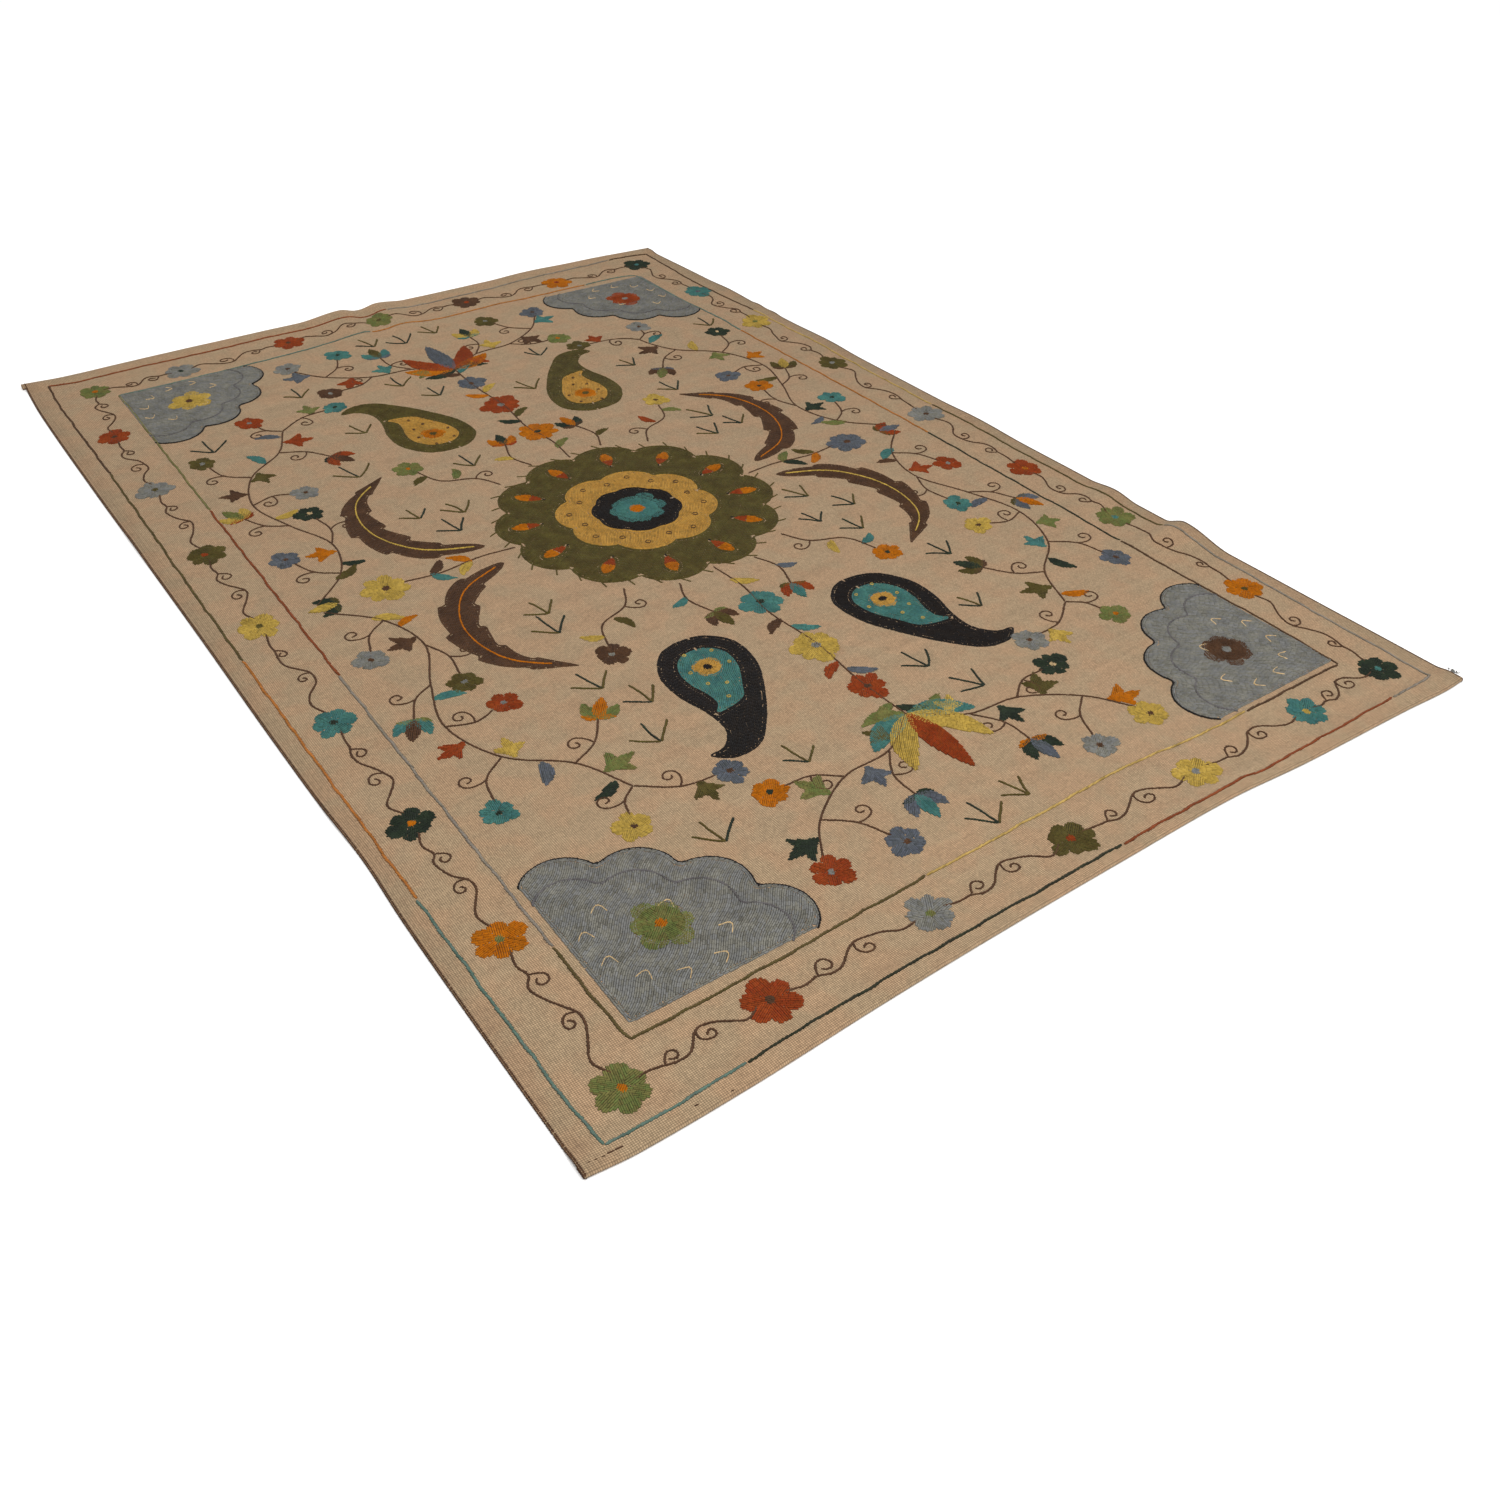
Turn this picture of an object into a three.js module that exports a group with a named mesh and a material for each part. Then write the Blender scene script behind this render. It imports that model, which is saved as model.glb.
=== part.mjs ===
// A flat-woven wool rug, embroidered on its face, lying on the floor.
// It is one cloth: the long edges are woven straight, and both short ends are turned
// under once as a narrow hem. Millimetres, +X across the rug, +Y along it, +Z up.
// The origin is on the floor, under the middle of the rug's outline.
import * as THREE from "three";

// Driving dimensions
const rugWidth = 1220;
const rugLength = 1870;
const clothThickness = 2.5;
const hemTurn = 14;
const hemGap = 0.6;
const rampStart = 16;
const rampLength = 22;
const edgeReach = 260;
const endY = rugLength / 2;
const sideX = rugWidth / 2;
const rampTopY = endY - rampStart;
const rampFootY = rampTopY - rampLength;

// How far each edge stands out from the straight rectangle, at places along that edge.
const leftEdge = [
  { along: -935, out: 0 },
  { along: -700, out: 1 },
  { along: -580, out: 0.5 },
  { along: -480, out: -2 },
  { along: -380, out: 1.5 },
  { along: -200, out: 3.5 },
  { along: 0, out: 4 },
  { along: 250, out: 6 },
  { along: 500, out: 8.5 },
  { along: 800, out: 9 },
  { along: 935, out: 4 },
];
const rightEdge = [
  { along: -935, out: 0 },
  { along: -700, out: 4 },
  { along: -450, out: 8 },
  { along: -100, out: 11 },
  { along: 300, out: 11 },
  { along: 650, out: 9 },
  { along: 935, out: 1 },
];
const nearEdge = [
  { along: -610, out: 1 },
  { along: -560, out: 5 },
  { along: -440, out: 3 },
  { along: -300, out: -4 },
  { along: -150, out: -9 },
  { along: 20, out: -12 },
  { along: 200, out: -13.5 },
  { along: 320, out: -6.5 },
  { along: 500, out: -1.5 },
  { along: 575, out: 2 },
  { along: 610, out: 0.5 },
];
const farEdge = [
  { along: -610, out: 0 },
  { along: -545, out: -6 },
  { along: -400, out: 0 },
  { along: -200, out: 4 },
  { along: 150, out: 7 },
  { along: 460, out: 11 },
  { along: 610, out: 1 },
];

// Ripples: soft ridges where the cloth stands off the floor. Each starts at x, y and runs
// on in a heading (degrees from +X) until it fades, with a half width on either side of it.
const ripples = [
  { x: 625, y: -496, heading: 178, length: 140, rightHalf: 36, leftHalf: 84, height: 12 },
  { x: 625, y: -362, heading: 184, length: 150, rightHalf: 52, leftHalf: 46, height: 5 },
  { x: 625, y: -60, heading: 180, length: 130, rightHalf: 90, leftHalf: 110, height: 2.2 },
  { x: 625, y: 330, heading: 183, length: 140, rightHalf: 120, leftHalf: 90, height: 2.6 },
  { x: 625, y: 640, heading: 176, length: 120, rightHalf: 80, leftHalf: 90, height: 2 },
  { x: -58, y: 955, heading: 268, length: 300, rightHalf: 84, leftHalf: 34, height: 7 },
  { x: 14, y: 955, heading: 272, length: 330, rightHalf: 36, leftHalf: 58, height: 5.6 },
  { x: 330, y: 955, heading: 265, length: 210, rightHalf: 90, leftHalf: 120, height: 2 },
  { x: 345, y: 543, heading: 181, length: 250, rightHalf: 26, leftHalf: 34, height: 2 },
  { x: 175, y: 546, heading: 174, length: 260, rightHalf: 34, leftHalf: 26, height: 1.8 },
  { x: -625, y: -420, heading: 4, length: 110, rightHalf: 60, leftHalf: 70, height: 1.6 },
  { x: -625, y: 300, heading: 358, length: 120, rightHalf: 90, leftHalf: 80, height: 1.8 },
];

// Grid of the cloth: columns across and rows along, closer together where the ripples are.
const columnBands = [
  { from: -sideX, to: -480, steps: 3 },
  { from: -480, to: -150, steps: 4 },
  { from: -150, to: 80, steps: 11 },
  { from: 80, to: 480, steps: 5 },
  { from: 480, to: sideX, steps: 4 },
];
const rowBands = [
  { from: rampFootY, to: 760, steps: 4 },
  { from: 760, to: -300, steps: 22 },
  { from: -300, to: -600, steps: 15 },
  { from: -600, to: -rampFootY, steps: 6 },
];
const foldSteps = 4;
const rampSteps = 3;

// The value of an edge table at a place along its edge, on a smooth curve through its rows.
function readEdge(table, along) {
  const last = table.length - 1;
  const at = THREE.MathUtils.clamp(along, table[0].along, table[last].along);
  let i = 0;
  while (i < last - 1 && at > table[i + 1].along) {
    i += 1;
  }
  const slopeAt = (k) => {
    const a = table[Math.max(k - 1, 0)];
    const b = table[Math.min(k + 1, last)];
    return (b.out - a.out) / (b.along - a.along);
  };
  const span = table[i + 1].along - table[i].along;
  const t = (at - table[i].along) / span;
  const startShare = 2 * t ** 3 - 3 * t ** 2 + 1;
  const startSlope = (t ** 3 - 2 * t ** 2 + t) * span * slopeAt(i);
  const endSlope = (t ** 3 - t ** 2) * span * slopeAt(i + 1);
  return startShare * table[i].out + (1 - startShare) * table[i + 1].out + startSlope + endSlope;
}

// 1 at the start of a reach, falling smoothly to 0 at its end and past it.
function fade(distance, reach) {
  const share = Math.min(Math.abs(distance) / reach, 1);
  return 0.5 + 0.5 * Math.cos(Math.PI * share);
}

// Where a point of the straight rectangle lies in the real, slightly uneven outline.
function placeInOutline(x, y) {
  const left = readEdge(leftEdge, y) * fade(x + sideX, edgeReach);
  const right = readEdge(rightEdge, y) * fade(sideX - x, edgeReach);
  const near = readEdge(nearEdge, x) * fade(y + endY, edgeReach);
  const far = readEdge(farEdge, x) * fade(endY - y, edgeReach);
  return { x: x + right - left, y: y + far - near };
}

// How far the ripples lift the cloth off the floor at a point.
function rippleLift(x, y) {
  let lift = 0;
  for (const ripple of ripples) {
    const angle = THREE.MathUtils.degToRad(ripple.heading);
    const dx = x - ripple.x;
    const dy = y - ripple.y;
    const ahead = dx * Math.cos(angle) + dy * Math.sin(angle);
    const aside = dy * Math.cos(angle) - dx * Math.sin(angle);
    const halfWidth = aside < 0 ? ripple.rightHalf : ripple.leftHalf;
    lift += ripple.height * fade(Math.max(ahead, 0), ripple.length) * fade(aside, halfWidth);
  }
  return lift;
}

function placesInBands(bands) {
  const places = [];
  for (const band of bands) {
    for (let i = 0; i < band.steps; i += 1) {
      places.push(THREE.MathUtils.lerp(band.from, band.to, i / band.steps));
    }
  }
  places.push(bands[bands.length - 1].to);
  return places;
}

// The middle line of the cloth along the rug, seen from its long side: y and z of each step,
// with the direction in which the cloth runs there.
function middleLine() {
  const lowZ = clothThickness / 2;
  const foldRadius = (clothThickness + hemGap) / 2;
  const highZ = lowZ + 2 * foldRadius;
  const foldY = endY - foldRadius - clothThickness / 2;

  // One end runs from its raw edge, round the fold and down the ramp to the floor.
  const oneEnd = [{ y: endY - hemTurn, z: lowZ, turn: 0 }];
  for (let i = 0; i <= foldSteps; i += 1) {
    const turn = (Math.PI * i) / foldSteps;
    oneEnd.push({
      y: foldY + foldRadius * Math.sin(turn),
      z: lowZ + foldRadius * (1 - Math.cos(turn)),
      turn,
    });
  }
  for (let i = 0; i <= rampSteps; i += 1) {
    const share = i / rampSteps;
    const slope = Math.PI * share;
    const drop = ((highZ - lowZ) * Math.PI * Math.sin(slope)) / (2 * rampLength);
    oneEnd.push({
      y: THREE.MathUtils.lerp(rampTopY, rampFootY, share),
      z: THREE.MathUtils.lerp(highZ, lowZ, (1 - Math.cos(slope)) / 2),
      turn: Math.PI + Math.atan(drop),
    });
  }

  const steps = [...oneEnd];
  for (const y of placesInBands(rowBands).slice(1, -1)) {
    steps.push({ y, z: lowZ, turn: Math.PI });
  }
  // The near end is the far end's mirror image, run the other way.
  for (const step of [...oneEnd].reverse()) {
    steps.push({ y: -step.y, z: step.z, turn: 2 * Math.PI - step.turn });
  }
  return steps;
}

// One face of the cloth: the middle line moved half a thickness to one side, at every column.
// The face shows outside the fold when side is 1, and inside it when side is -1.
function facePoints(steps, columns, side) {
  const half = (side * clothThickness) / 2;
  return steps.map((step) => {
    const y = step.y + half * Math.sin(step.turn);
    const z = step.z - half * Math.cos(step.turn);
    return columns.map((x) => {
      const place = placeInOutline(x, y);
      return new THREE.Vector3(place.x, place.y, z + rippleLift(place.x, place.y));
    });
  });
}

// The cloth as one closed body: two faces and the rim that joins them.
function clothGeometry() {
  const steps = middleLine();
  const columns = placesInBands(columnBands);
  const outside = facePoints(steps, columns, 1);
  const inside = facePoints(steps, columns, -1);
  const rows = steps.length;
  const across = columns.length;

  const box = new THREE.Box3().setFromPoints([...outside, ...inside].flat());
  const centre = box.getCenter(new THREE.Vector3());
  const positions = [];
  for (const point of [...outside, ...inside].flat()) {
    positions.push(point.x - centre.x, point.y - centre.y, point.z);
  }

  const outer = (row, column) => row * across + column;
  const inner = (row, column) => (rows + row) * across + column;
  const index = [];
  const quad = (a, b, c, d) => index.push(a, b, c, a, c, d);
  for (let row = 0; row < rows - 1; row += 1) {
    for (let column = 0; column < across - 1; column += 1) {
      const next = column + 1;
      quad(outer(row, column), outer(row + 1, column), outer(row + 1, next), outer(row, next));
      quad(inner(row, column), inner(row, next), inner(row + 1, next), inner(row + 1, column));
    }
    const end = across - 1;
    quad(outer(row, 0), inner(row, 0), inner(row + 1, 0), outer(row + 1, 0));
    quad(outer(row, end), outer(row + 1, end), inner(row + 1, end), inner(row, end));
  }
  const rawEdge = rows - 1;
  for (let column = 0; column < across - 1; column += 1) {
    const next = column + 1;
    quad(outer(0, column), outer(0, next), inner(0, next), inner(0, column));
    quad(outer(rawEdge, column), inner(rawEdge, column), inner(rawEdge, next), outer(rawEdge, next));
  }

  const geometry = new THREE.BufferGeometry();
  geometry.setAttribute("position", new THREE.Float32BufferAttribute(positions, 3));
  geometry.setIndex(index);
  geometry.computeVertexNormals();
  return geometry;
}

const wovenWool = new THREE.MeshStandardMaterial({
  color: 0xb29979,
  roughness: 0.93,
  metalness: 0,
});

const cloth = new THREE.Mesh(clothGeometry(), wovenWool);
cloth.name = "ground_cloth";

const rug = new THREE.Group();
rug.add(cloth);

export default rug;
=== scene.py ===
import math
import bpy
import numpy as np
from mathutils import Matrix


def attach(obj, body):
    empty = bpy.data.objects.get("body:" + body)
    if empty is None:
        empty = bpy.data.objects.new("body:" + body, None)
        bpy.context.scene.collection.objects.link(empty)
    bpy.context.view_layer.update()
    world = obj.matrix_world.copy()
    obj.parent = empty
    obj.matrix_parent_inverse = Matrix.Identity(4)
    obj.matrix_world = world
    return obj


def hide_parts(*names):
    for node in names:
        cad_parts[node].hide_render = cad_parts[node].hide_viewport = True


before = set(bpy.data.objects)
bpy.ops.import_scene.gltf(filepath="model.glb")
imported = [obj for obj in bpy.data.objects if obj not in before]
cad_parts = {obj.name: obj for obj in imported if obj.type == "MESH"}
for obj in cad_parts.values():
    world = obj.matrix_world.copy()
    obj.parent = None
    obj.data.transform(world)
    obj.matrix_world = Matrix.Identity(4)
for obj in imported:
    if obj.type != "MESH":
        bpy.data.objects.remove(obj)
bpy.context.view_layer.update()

# An embroidered flat-woven rug on a pale floor. Places are worked out in millimetres, in the plane
# of the rug: x across it, y along it. They become metres when a mesh is made.
mm = 0.001
rng = np.random.default_rng(4127)


def anyAngle():
    return rng.uniform(0, 6.3)


# Cloth

cloth = {
    "width": 1220,
    "length": 1870,
    "thickness": 2.5,
    "hemTurn": 14,  # cloth turned under at each short end
    "hemGap": 0.6,
    "rampStart": 16,  # where the face starts to drop from the hem, and how long it takes
    "rampLength": 22,
    "edgeReach": 260,  # how far an uneven edge pulls the cloth inside it
    "hemEnd": 5,  # the far hem sticks out this far at its left end
    "hemEndReach": 22,
    "hemEndBlend": 3,
    "unevenness": 0.5,
    "cell": 10,  # grid of the plain cloth, and of the cloth with ripples
    "fineCell": 5.5,
    "rippleColumns": (-150, 80),
    "rippleRows": (-300, -600),
    "sharpAngle": 50,
}
# How far each edge stands out from the straight rectangle, at places along it.
edges = {
    "left": {
        "along": [-935, -700, -580, -480, -380, -200, 0, 250, 500, 800, 935],
        "out": [0, 1, 0.5, -2, 1.5, 3.5, 4, 6, 8.5, 9, 4],
    },
    "right": {
        "along": [-935, -700, -450, -100, 300, 650, 935],
        "out": [0, 4, 8, 11, 11, 9, 1],
    },
    "near": {
        "along": [-610, -560, -440, -300, -150, 20, 200, 320, 500, 575, 610],
        "out": [1, 5, 3, -4, -9, -12, -13.5, -6.5, -1.5, 2, 0.5],
    },
    "far": {
        "along": [-610, -545, -400, -200, 150, 460, 610],
        "out": [0, -6, 0, 4, 7, 11, 1],
    },
}
# Ripples: start x and y, heading in degrees from +x, length, half width on the right and on
# the left of the heading, height.
ripples = [
    (625, -496, 178, 140, 36, 84, 12),
    (625, -362, 184, 150, 52, 46, 5),
    (625, -60, 180, 130, 90, 110, 2.2),
    (625, 330, 183, 140, 120, 90, 2.6),
    (625, 640, 176, 120, 80, 90, 2),
    (-58, 955, 268, 300, 84, 34, 7),
    (14, 955, 272, 330, 36, 58, 5.6),
    (330, 955, 265, 210, 90, 120, 2),
    (345, 543, 181, 250, 26, 34, 2),
    (175, 546, 174, 260, 34, 26, 1.8),
    (-625, -420, 4, 110, 60, 70, 1.6),
    (-625, 300, 358, 120, 90, 80, 1.8),
]
sideX = cloth["width"] / 2
endY = cloth["length"] / 2
rampTopY = endY - cloth["rampStart"]
rampFootY = rampTopY - cloth["rampLength"]
foldRadius = (cloth["thickness"] + cloth["hemGap"]) / 2
foldY = endY - foldRadius - cloth["thickness"] / 2
lowTop = cloth["thickness"]
highTop = 2 * cloth["thickness"] + cloth["hemGap"]
# Gentle waves of the whole cloth: wave length and a seeded direction and start
swells = [(span, rng.uniform(0, math.pi), anyAngle()) for span in (70, 95, 130, 180, 260, 380)]


# How far an edge stands out at places along it, on a smooth curve through its table
def readEdge(side, along):
    at = np.array(edges[side]["along"], float)
    out = np.array(edges[side]["out"], float)
    slope = np.concatenate([
        [(out[1] - out[0]) / (at[1] - at[0])],
        (out[2:] - out[:-2]) / (at[2:] - at[:-2]),
        [(out[-1] - out[-2]) / (at[-1] - at[-2])],
    ])
    place = np.clip(along, at[0], at[-1])
    i = np.clip(np.searchsorted(at, place) - 1, 0, len(at) - 2)
    span = at[i + 1] - at[i]
    t = (place - at[i]) / span
    share = 2 * t ** 3 - 3 * t ** 2 + 1
    bend = (t ** 3 - 2 * t ** 2 + t) * slope[i] + (t ** 3 - t ** 2) * slope[i + 1]
    return share * out[i] + (1 - share) * out[i + 1] + bend * span


# 1 at no distance, falling smoothly to 0 at the reach and past it
def fade(distance, reach):
    return 0.5 + 0.5 * np.cos(np.pi * np.minimum(np.abs(distance) / reach, 1))


# Where a point of the straight rectangle lies in the real, slightly uneven outline
def placeInOutline(x, y):
    reach = cloth["edgeReach"]
    left = readEdge("left", y) * fade(x + sideX, reach)
    right = readEdge("right", y) * fade(sideX - x, reach)
    near = readEdge("near", x) * fade(y + endY, reach)
    far = readEdge("far", x) * fade(endY - y, reach)
    return x + right - left, y + far - near


# The other way round: the point of the straight rectangle that lies at a place of the outline
def straightPlace(x, y):
    u, v = np.array(x, float), np.array(y, float)
    for _ in range(3):
        px, py = placeInOutline(u, v)
        u, v = u + x - px, v + y - py
    return u, v


# How far the cloth stands off the floor at a point
def clothLift(x, y):
    lift = 0
    for startX, startY, heading, length, rightHalf, leftHalf, height in ripples:
        angle = math.radians(heading)
        dx, dy = x - startX, y - startY
        ahead = dx * math.cos(angle) + dy * math.sin(angle)
        aside = dy * math.cos(angle) - dx * math.sin(angle)
        half = np.where(aside < 0, rightHalf, leftHalf)
        lift = lift + height * fade(np.maximum(ahead, 0), length) * fade(aside, half)
    wave = sum(np.sin((x * math.cos(a) + y * math.sin(a)) * 2 * math.pi / s + p) for s, a, p in swells)
    return lift + cloth["unevenness"] * (0.5 + wave / (2 * len(swells)))


# The height of the cloth's face
def faceHeight(x, y):
    _, v = straightPlace(x, y)
    away = np.abs(v)
    share = np.clip((away - rampFootY) / (rampTopY - rampFootY), 0, 1)
    top = lowTop + (highTop - lowTop) * (1 - np.cos(np.pi * share)) / 2
    bend = highTop / 2
    past = np.clip(away - foldY, 0, bend)
    top = np.where(away > foldY, bend + np.sqrt(bend ** 2 - past ** 2), top)
    return top + clothLift(x, y)


# The cloth's middle line seen from its long side: y, z and the direction in which it runs
def middleLine():
    half = cloth["thickness"] / 2
    oneEnd = [(endY - cloth["hemTurn"], half, 0)]
    for turn in np.linspace(0, math.pi, 9):
        y = foldY + foldRadius * math.sin(turn)
        oneEnd.append((y, half + foldRadius * (1 - math.cos(turn)), turn))
    for share in np.linspace(0, 1, 7):
        drop = highTop - lowTop
        slope = drop * math.pi * math.sin(math.pi * share) / (2 * cloth["rampLength"])
        z = half + drop * (1 + math.cos(math.pi * share)) / 2
        oneEnd.append((rampTopY + share * (rampFootY - rampTopY), z, math.pi + math.atan(slope)))
    flat = [(y, half, math.pi) for y in gridPlaces(rampFootY, -rampFootY, cloth["rippleRows"])[1:-1]]
    otherEnd = [(-y, z, 2 * math.pi - turn) for y, z, turn in reversed(oneEnd)]
    return np.array(oneEnd + flat + otherEnd)


# Lines of the cloth's grid from start to stop, closer together where the ripples are
def gridPlaces(start, stop, ripple):
    places = []
    bands = [(start, ripple[0], "cell"), (ripple[0], ripple[1], "fineCell"), (ripple[1], stop, "cell")]
    for first, last, cell in bands:
        count = max(1, round(abs(last - first) / cloth[cell]))
        places.extend(np.linspace(first, last, count + 1)[:-1])
    return places + [stop]


# How far each point lies along a path
def distances(points):
    return np.concatenate([[0], np.cumsum(np.hypot(*np.diff(points, axis=0).T))])


def placed(name, data):
    thing = bpy.data.objects.new(name, data)
    bpy.context.scene.collection.objects.link(thing)
    return thing


# A mesh object from points in millimetres and rows of point numbers, with maps and values
def makePiece(name, points, faces, maps, values=None):
    mesh = bpy.data.meshes.new(name)
    corners = np.concatenate([rows.ravel() for rows in faces])
    sizes = np.concatenate([np.full(len(rows), rows.shape[1]) for rows in faces])
    mesh.vertices.add(len(points))
    mesh.vertices.foreach_set("co", (points * mm).astype(np.float32).ravel())
    mesh.loops.add(len(corners))
    mesh.loops.foreach_set("vertex_index", corners.astype(np.int32))
    mesh.polygons.add(len(sizes))
    mesh.polygons.foreach_set("loop_start", (np.cumsum(sizes) - sizes).astype(np.int32))
    mesh.update(calc_edges=True)
    mesh.validate()
    mesh.shade_smooth()
    for key, places in maps.items():
        layer = mesh.uv_layers.new(name=key)
        layer.data.foreach_set("uv", places[corners].astype(np.float32).ravel())
    for key, numbers in (values or {}).items():
        layer = mesh.attributes.new(key, "FLOAT", "POINT")
        layer.data.foreach_set("value", numbers.astype(np.float32))
    return placed(name, mesh)


# One flat map of the whole rug, seen from above
def planMap(points):
    return points[:, :2] / cloth["length"] / 1.02 + 0.5


def makeCloth():
    steps = middleLine()
    columns = np.array(gridPlaces(-sideX, sideX, cloth["rippleColumns"]))
    y, z, turn = steps.T
    half = cloth["thickness"] / 2
    points = []
    for side in (1, -1):
        faceX, faceY = np.meshgrid(columns, y + side * half * np.sin(turn))
        faceZ = (z - side * half * np.cos(turn))[:, None]
        px, py = placeInOutline(faceX, faceY)
        inHem = np.clip((faceY - rampTopY) / cloth["hemEndBlend"] + 1, 0, 1)
        px = px - cloth["hemEnd"] * inHem * fade(faceX + sideX, cloth["hemEndReach"])
        points.append(np.stack([px, py, faceZ + clothLift(px, py)], -1).reshape(-1, 3))
    points = np.vstack(points)
    threads = np.stack(np.meshgrid(columns, distances(steps[:, :2])), -1).reshape(-1, 2) * mm
    rows, across = len(steps), len(columns)
    grid = np.arange(rows * across).reshape(rows, across)
    under = grid + rows * across
    faces = [
        [grid[:-1, :-1], grid[1:, :-1], grid[1:, 1:], grid[:-1, 1:]],
        [under[:-1, :-1], under[:-1, 1:], under[1:, 1:], under[1:, :-1]],
        [grid[:-1, 0], under[:-1, 0], under[1:, 0], grid[1:, 0]],
        [grid[:-1, -1], grid[1:, -1], under[1:, -1], under[:-1, -1]],
        [grid[0, :-1], grid[0, 1:], under[0, 1:], under[0, :-1]],
        [grid[-1, :-1], under[-1, :-1], under[-1, 1:], grid[-1, 1:]],
    ]
    faces = np.vstack([np.stack(quads, -1).reshape(-1, 4) for quads in faces])
    # Faces that look up come last, the highest at the end, so that the flat map shows the face.
    one, two, three = (points[faces[:, k]] for k in (0, 1, 2))
    up = np.cross(two - one, three - one)[:, 2] > 0
    faces = faces[np.lexsort([points[faces, 2].mean(1), up])]
    middle = (points.min(0) + points.max(0)) / 2
    piece = makePiece("woven_cloth", points - [*middle[:2], 0], [faces],
                      {"OFBake": planMap(points - middle), "threads": np.tile(threads, (2, 1))})
    piece.data.set_sharp_from_angle(angle=math.radians(cloth["sharpAngle"]))
    return piece, middle[:2], steps


clothPiece, rugMiddle, clothSteps = makeCloth()
print("cloth:", len(clothPiece.data.polygons), "faces")


# Stitches

# By yarn, arrays with a row for each stitch: start x and y, end x and y, width, height, how far it
# is raised, tone, and how much of the ground's fluff it has taken on
stitches = {}
# The middle that sewing is drawn about, and mirrored there
work = {"x": 0, "y": 0, "flipX": 1, "flipY": 1}
curveStep = 1.5  # between the points of a drawn curve
handwork = {
    "size": 0.09,  # unevenness of a stitch's width and height, and its limits
    "sizeLimits": (0.75, 1.3),
    "place": 0.25,  # in a line: of a stitch's place, length and ends
    "length": (0.88, 1.12),
    "ends": 0.12,
    "row": 0.08,  # in a filling: of a row's place and ends, and of the cuts between its stitches
    "rowEnd": (-0.4, 1),
    "firstCut": (0.4, 1.3),
    "cut": 0.9,
    "overlap": 0.9,
    "shortest": 1,
}
lineStitch = {"pitch": 4.6, "length": 10.5, "width": 3.4, "height": 1.4, "slant": 2.0, "tint": 0.2,
              "fluff": 1}
vineStitch = {"pitch": 3.9, "length": 8.0, "width": 2.8, "height": 1.3, "slant": 1.4, "tint": 1.5}
curlStitch = {"pitch": 3.2, "length": 6.2, "width": 2.6, "height": 1.2, "slant": 1.2, "tint": 1.5}
bladeStitch = {"pitch": 4.2, "length": 9.0, "width": 3.3, "height": 1.4, "slant": 1.6, "tint": 1}
fillStitch = {"pitch": 6.3, "spacing": 2.25, "width": 3.4, "height": 0.95, "wave": 2.2, "waveLength": 70,
              "ragged": 0.5}
petalStitch = {"pitch": 6.0, "spacing": 2.1, "width": 3.3, "height": 1.1, "wave": 0.6, "waveLength": 60,
               "ragged": 1.7}


def sew(yarn, start, end, width, height, lift=0.0, tint=0.0, fluff=0.0):
    start, end = np.atleast_2d(start), np.atleast_2d(end)
    turn = np.array([work["flipX"], work["flipY"]])
    move = np.array([work["x"], work["y"]])
    count = len(start)
    size = rng.normal(1, handwork["size"], (2, count)).clip(*handwork["sizeLimits"])
    tone = tint + rng.normal(0, 1, count).clip(-2, 2)
    rows = [start * turn + move, end * turn + move, width * size[0], height * size[1]]
    rows += [np.full(count, lift), tone, np.full(count, fluff)]
    stitches.setdefault(yarn, []).append(np.column_stack(rows))


# Points at given distances along a path
def pointsAt(at, far, path):
    return np.stack([np.interp(at, far, path[:, k]) for k in (0, 1)], -1)


# Directions turned a quarter to the left
def leftOf(way):
    return np.stack([-way[..., 1], way[..., 0]], -1)


def evenSteps(points, spacing=curveStep, closed=False):
    points = np.asarray(points, float)
    if closed:
        points = np.vstack([points, points[:1]])
    far = distances(points)
    count = max(2, round(far[-1] / spacing))
    return pointsAt(np.linspace(0, far[-1], count + 1)[:count + (not closed)], far, points)


# A curve through all the points, in even steps
def smoothCurve(points, closed=False):
    p = np.asarray(points, float)
    ends = [p[-1:], p, p[:2]] if closed else [2 * p[:1] - p[1:2], p, 2 * p[-1:] - p[-2:-1]]
    p = np.vstack(ends)
    t = np.linspace(0, 1, 13)[:-1, None]
    pieces = []
    for a, b, c, d in zip(p[:-3], p[1:-2], p[2:-1], p[3:]):
        bend = (2 * a - 5 * b + 4 * c - d) * t ** 2 + (3 * b - a - 3 * c + d) * t ** 3
        pieces.append(0.5 * (2 * b + (c - a) * t + bend))
    if not closed:
        pieces.append(p[-2:-1])
    return evenSteps(np.vstack(pieces), closed=closed)


# A line in stem stitch: overlapping stitches, each a little aslant
def sewLine(yarn, curve, stitch=lineStitch, lift=0.0):
    far = distances(curve)
    count = max(1, round(far[-1] / stitch["pitch"]))
    at = (np.arange(count) + 0.5) * far[-1] / count + rng.normal(0, handwork["place"], count)
    reach = stitch["length"] / 2 * rng.uniform(*handwork["length"], count)
    start, end = pointsAt(at - reach, far, curve), pointsAt(at + reach, far, curve)
    way = end - start
    length = np.maximum(np.hypot(*way.T), 0.01)[:, None]
    side = leftOf(way) / length * stitch["slant"] / 2
    wobble = rng.normal(0, handwork["ends"], (count, 2))
    start, end = start - side + wobble, end + side + wobble
    tint, fluff = stitch.get("tint", 0), stitch.get("fluff", 0)
    sew(yarn, start, end, stitch["width"], stitch["height"], lift, tint, fluff)


def ringArea(ring):
    x, y = ring.T
    return 0.5 * np.sum(x * np.roll(y, -1) - y * np.roll(x, -1))


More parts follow.
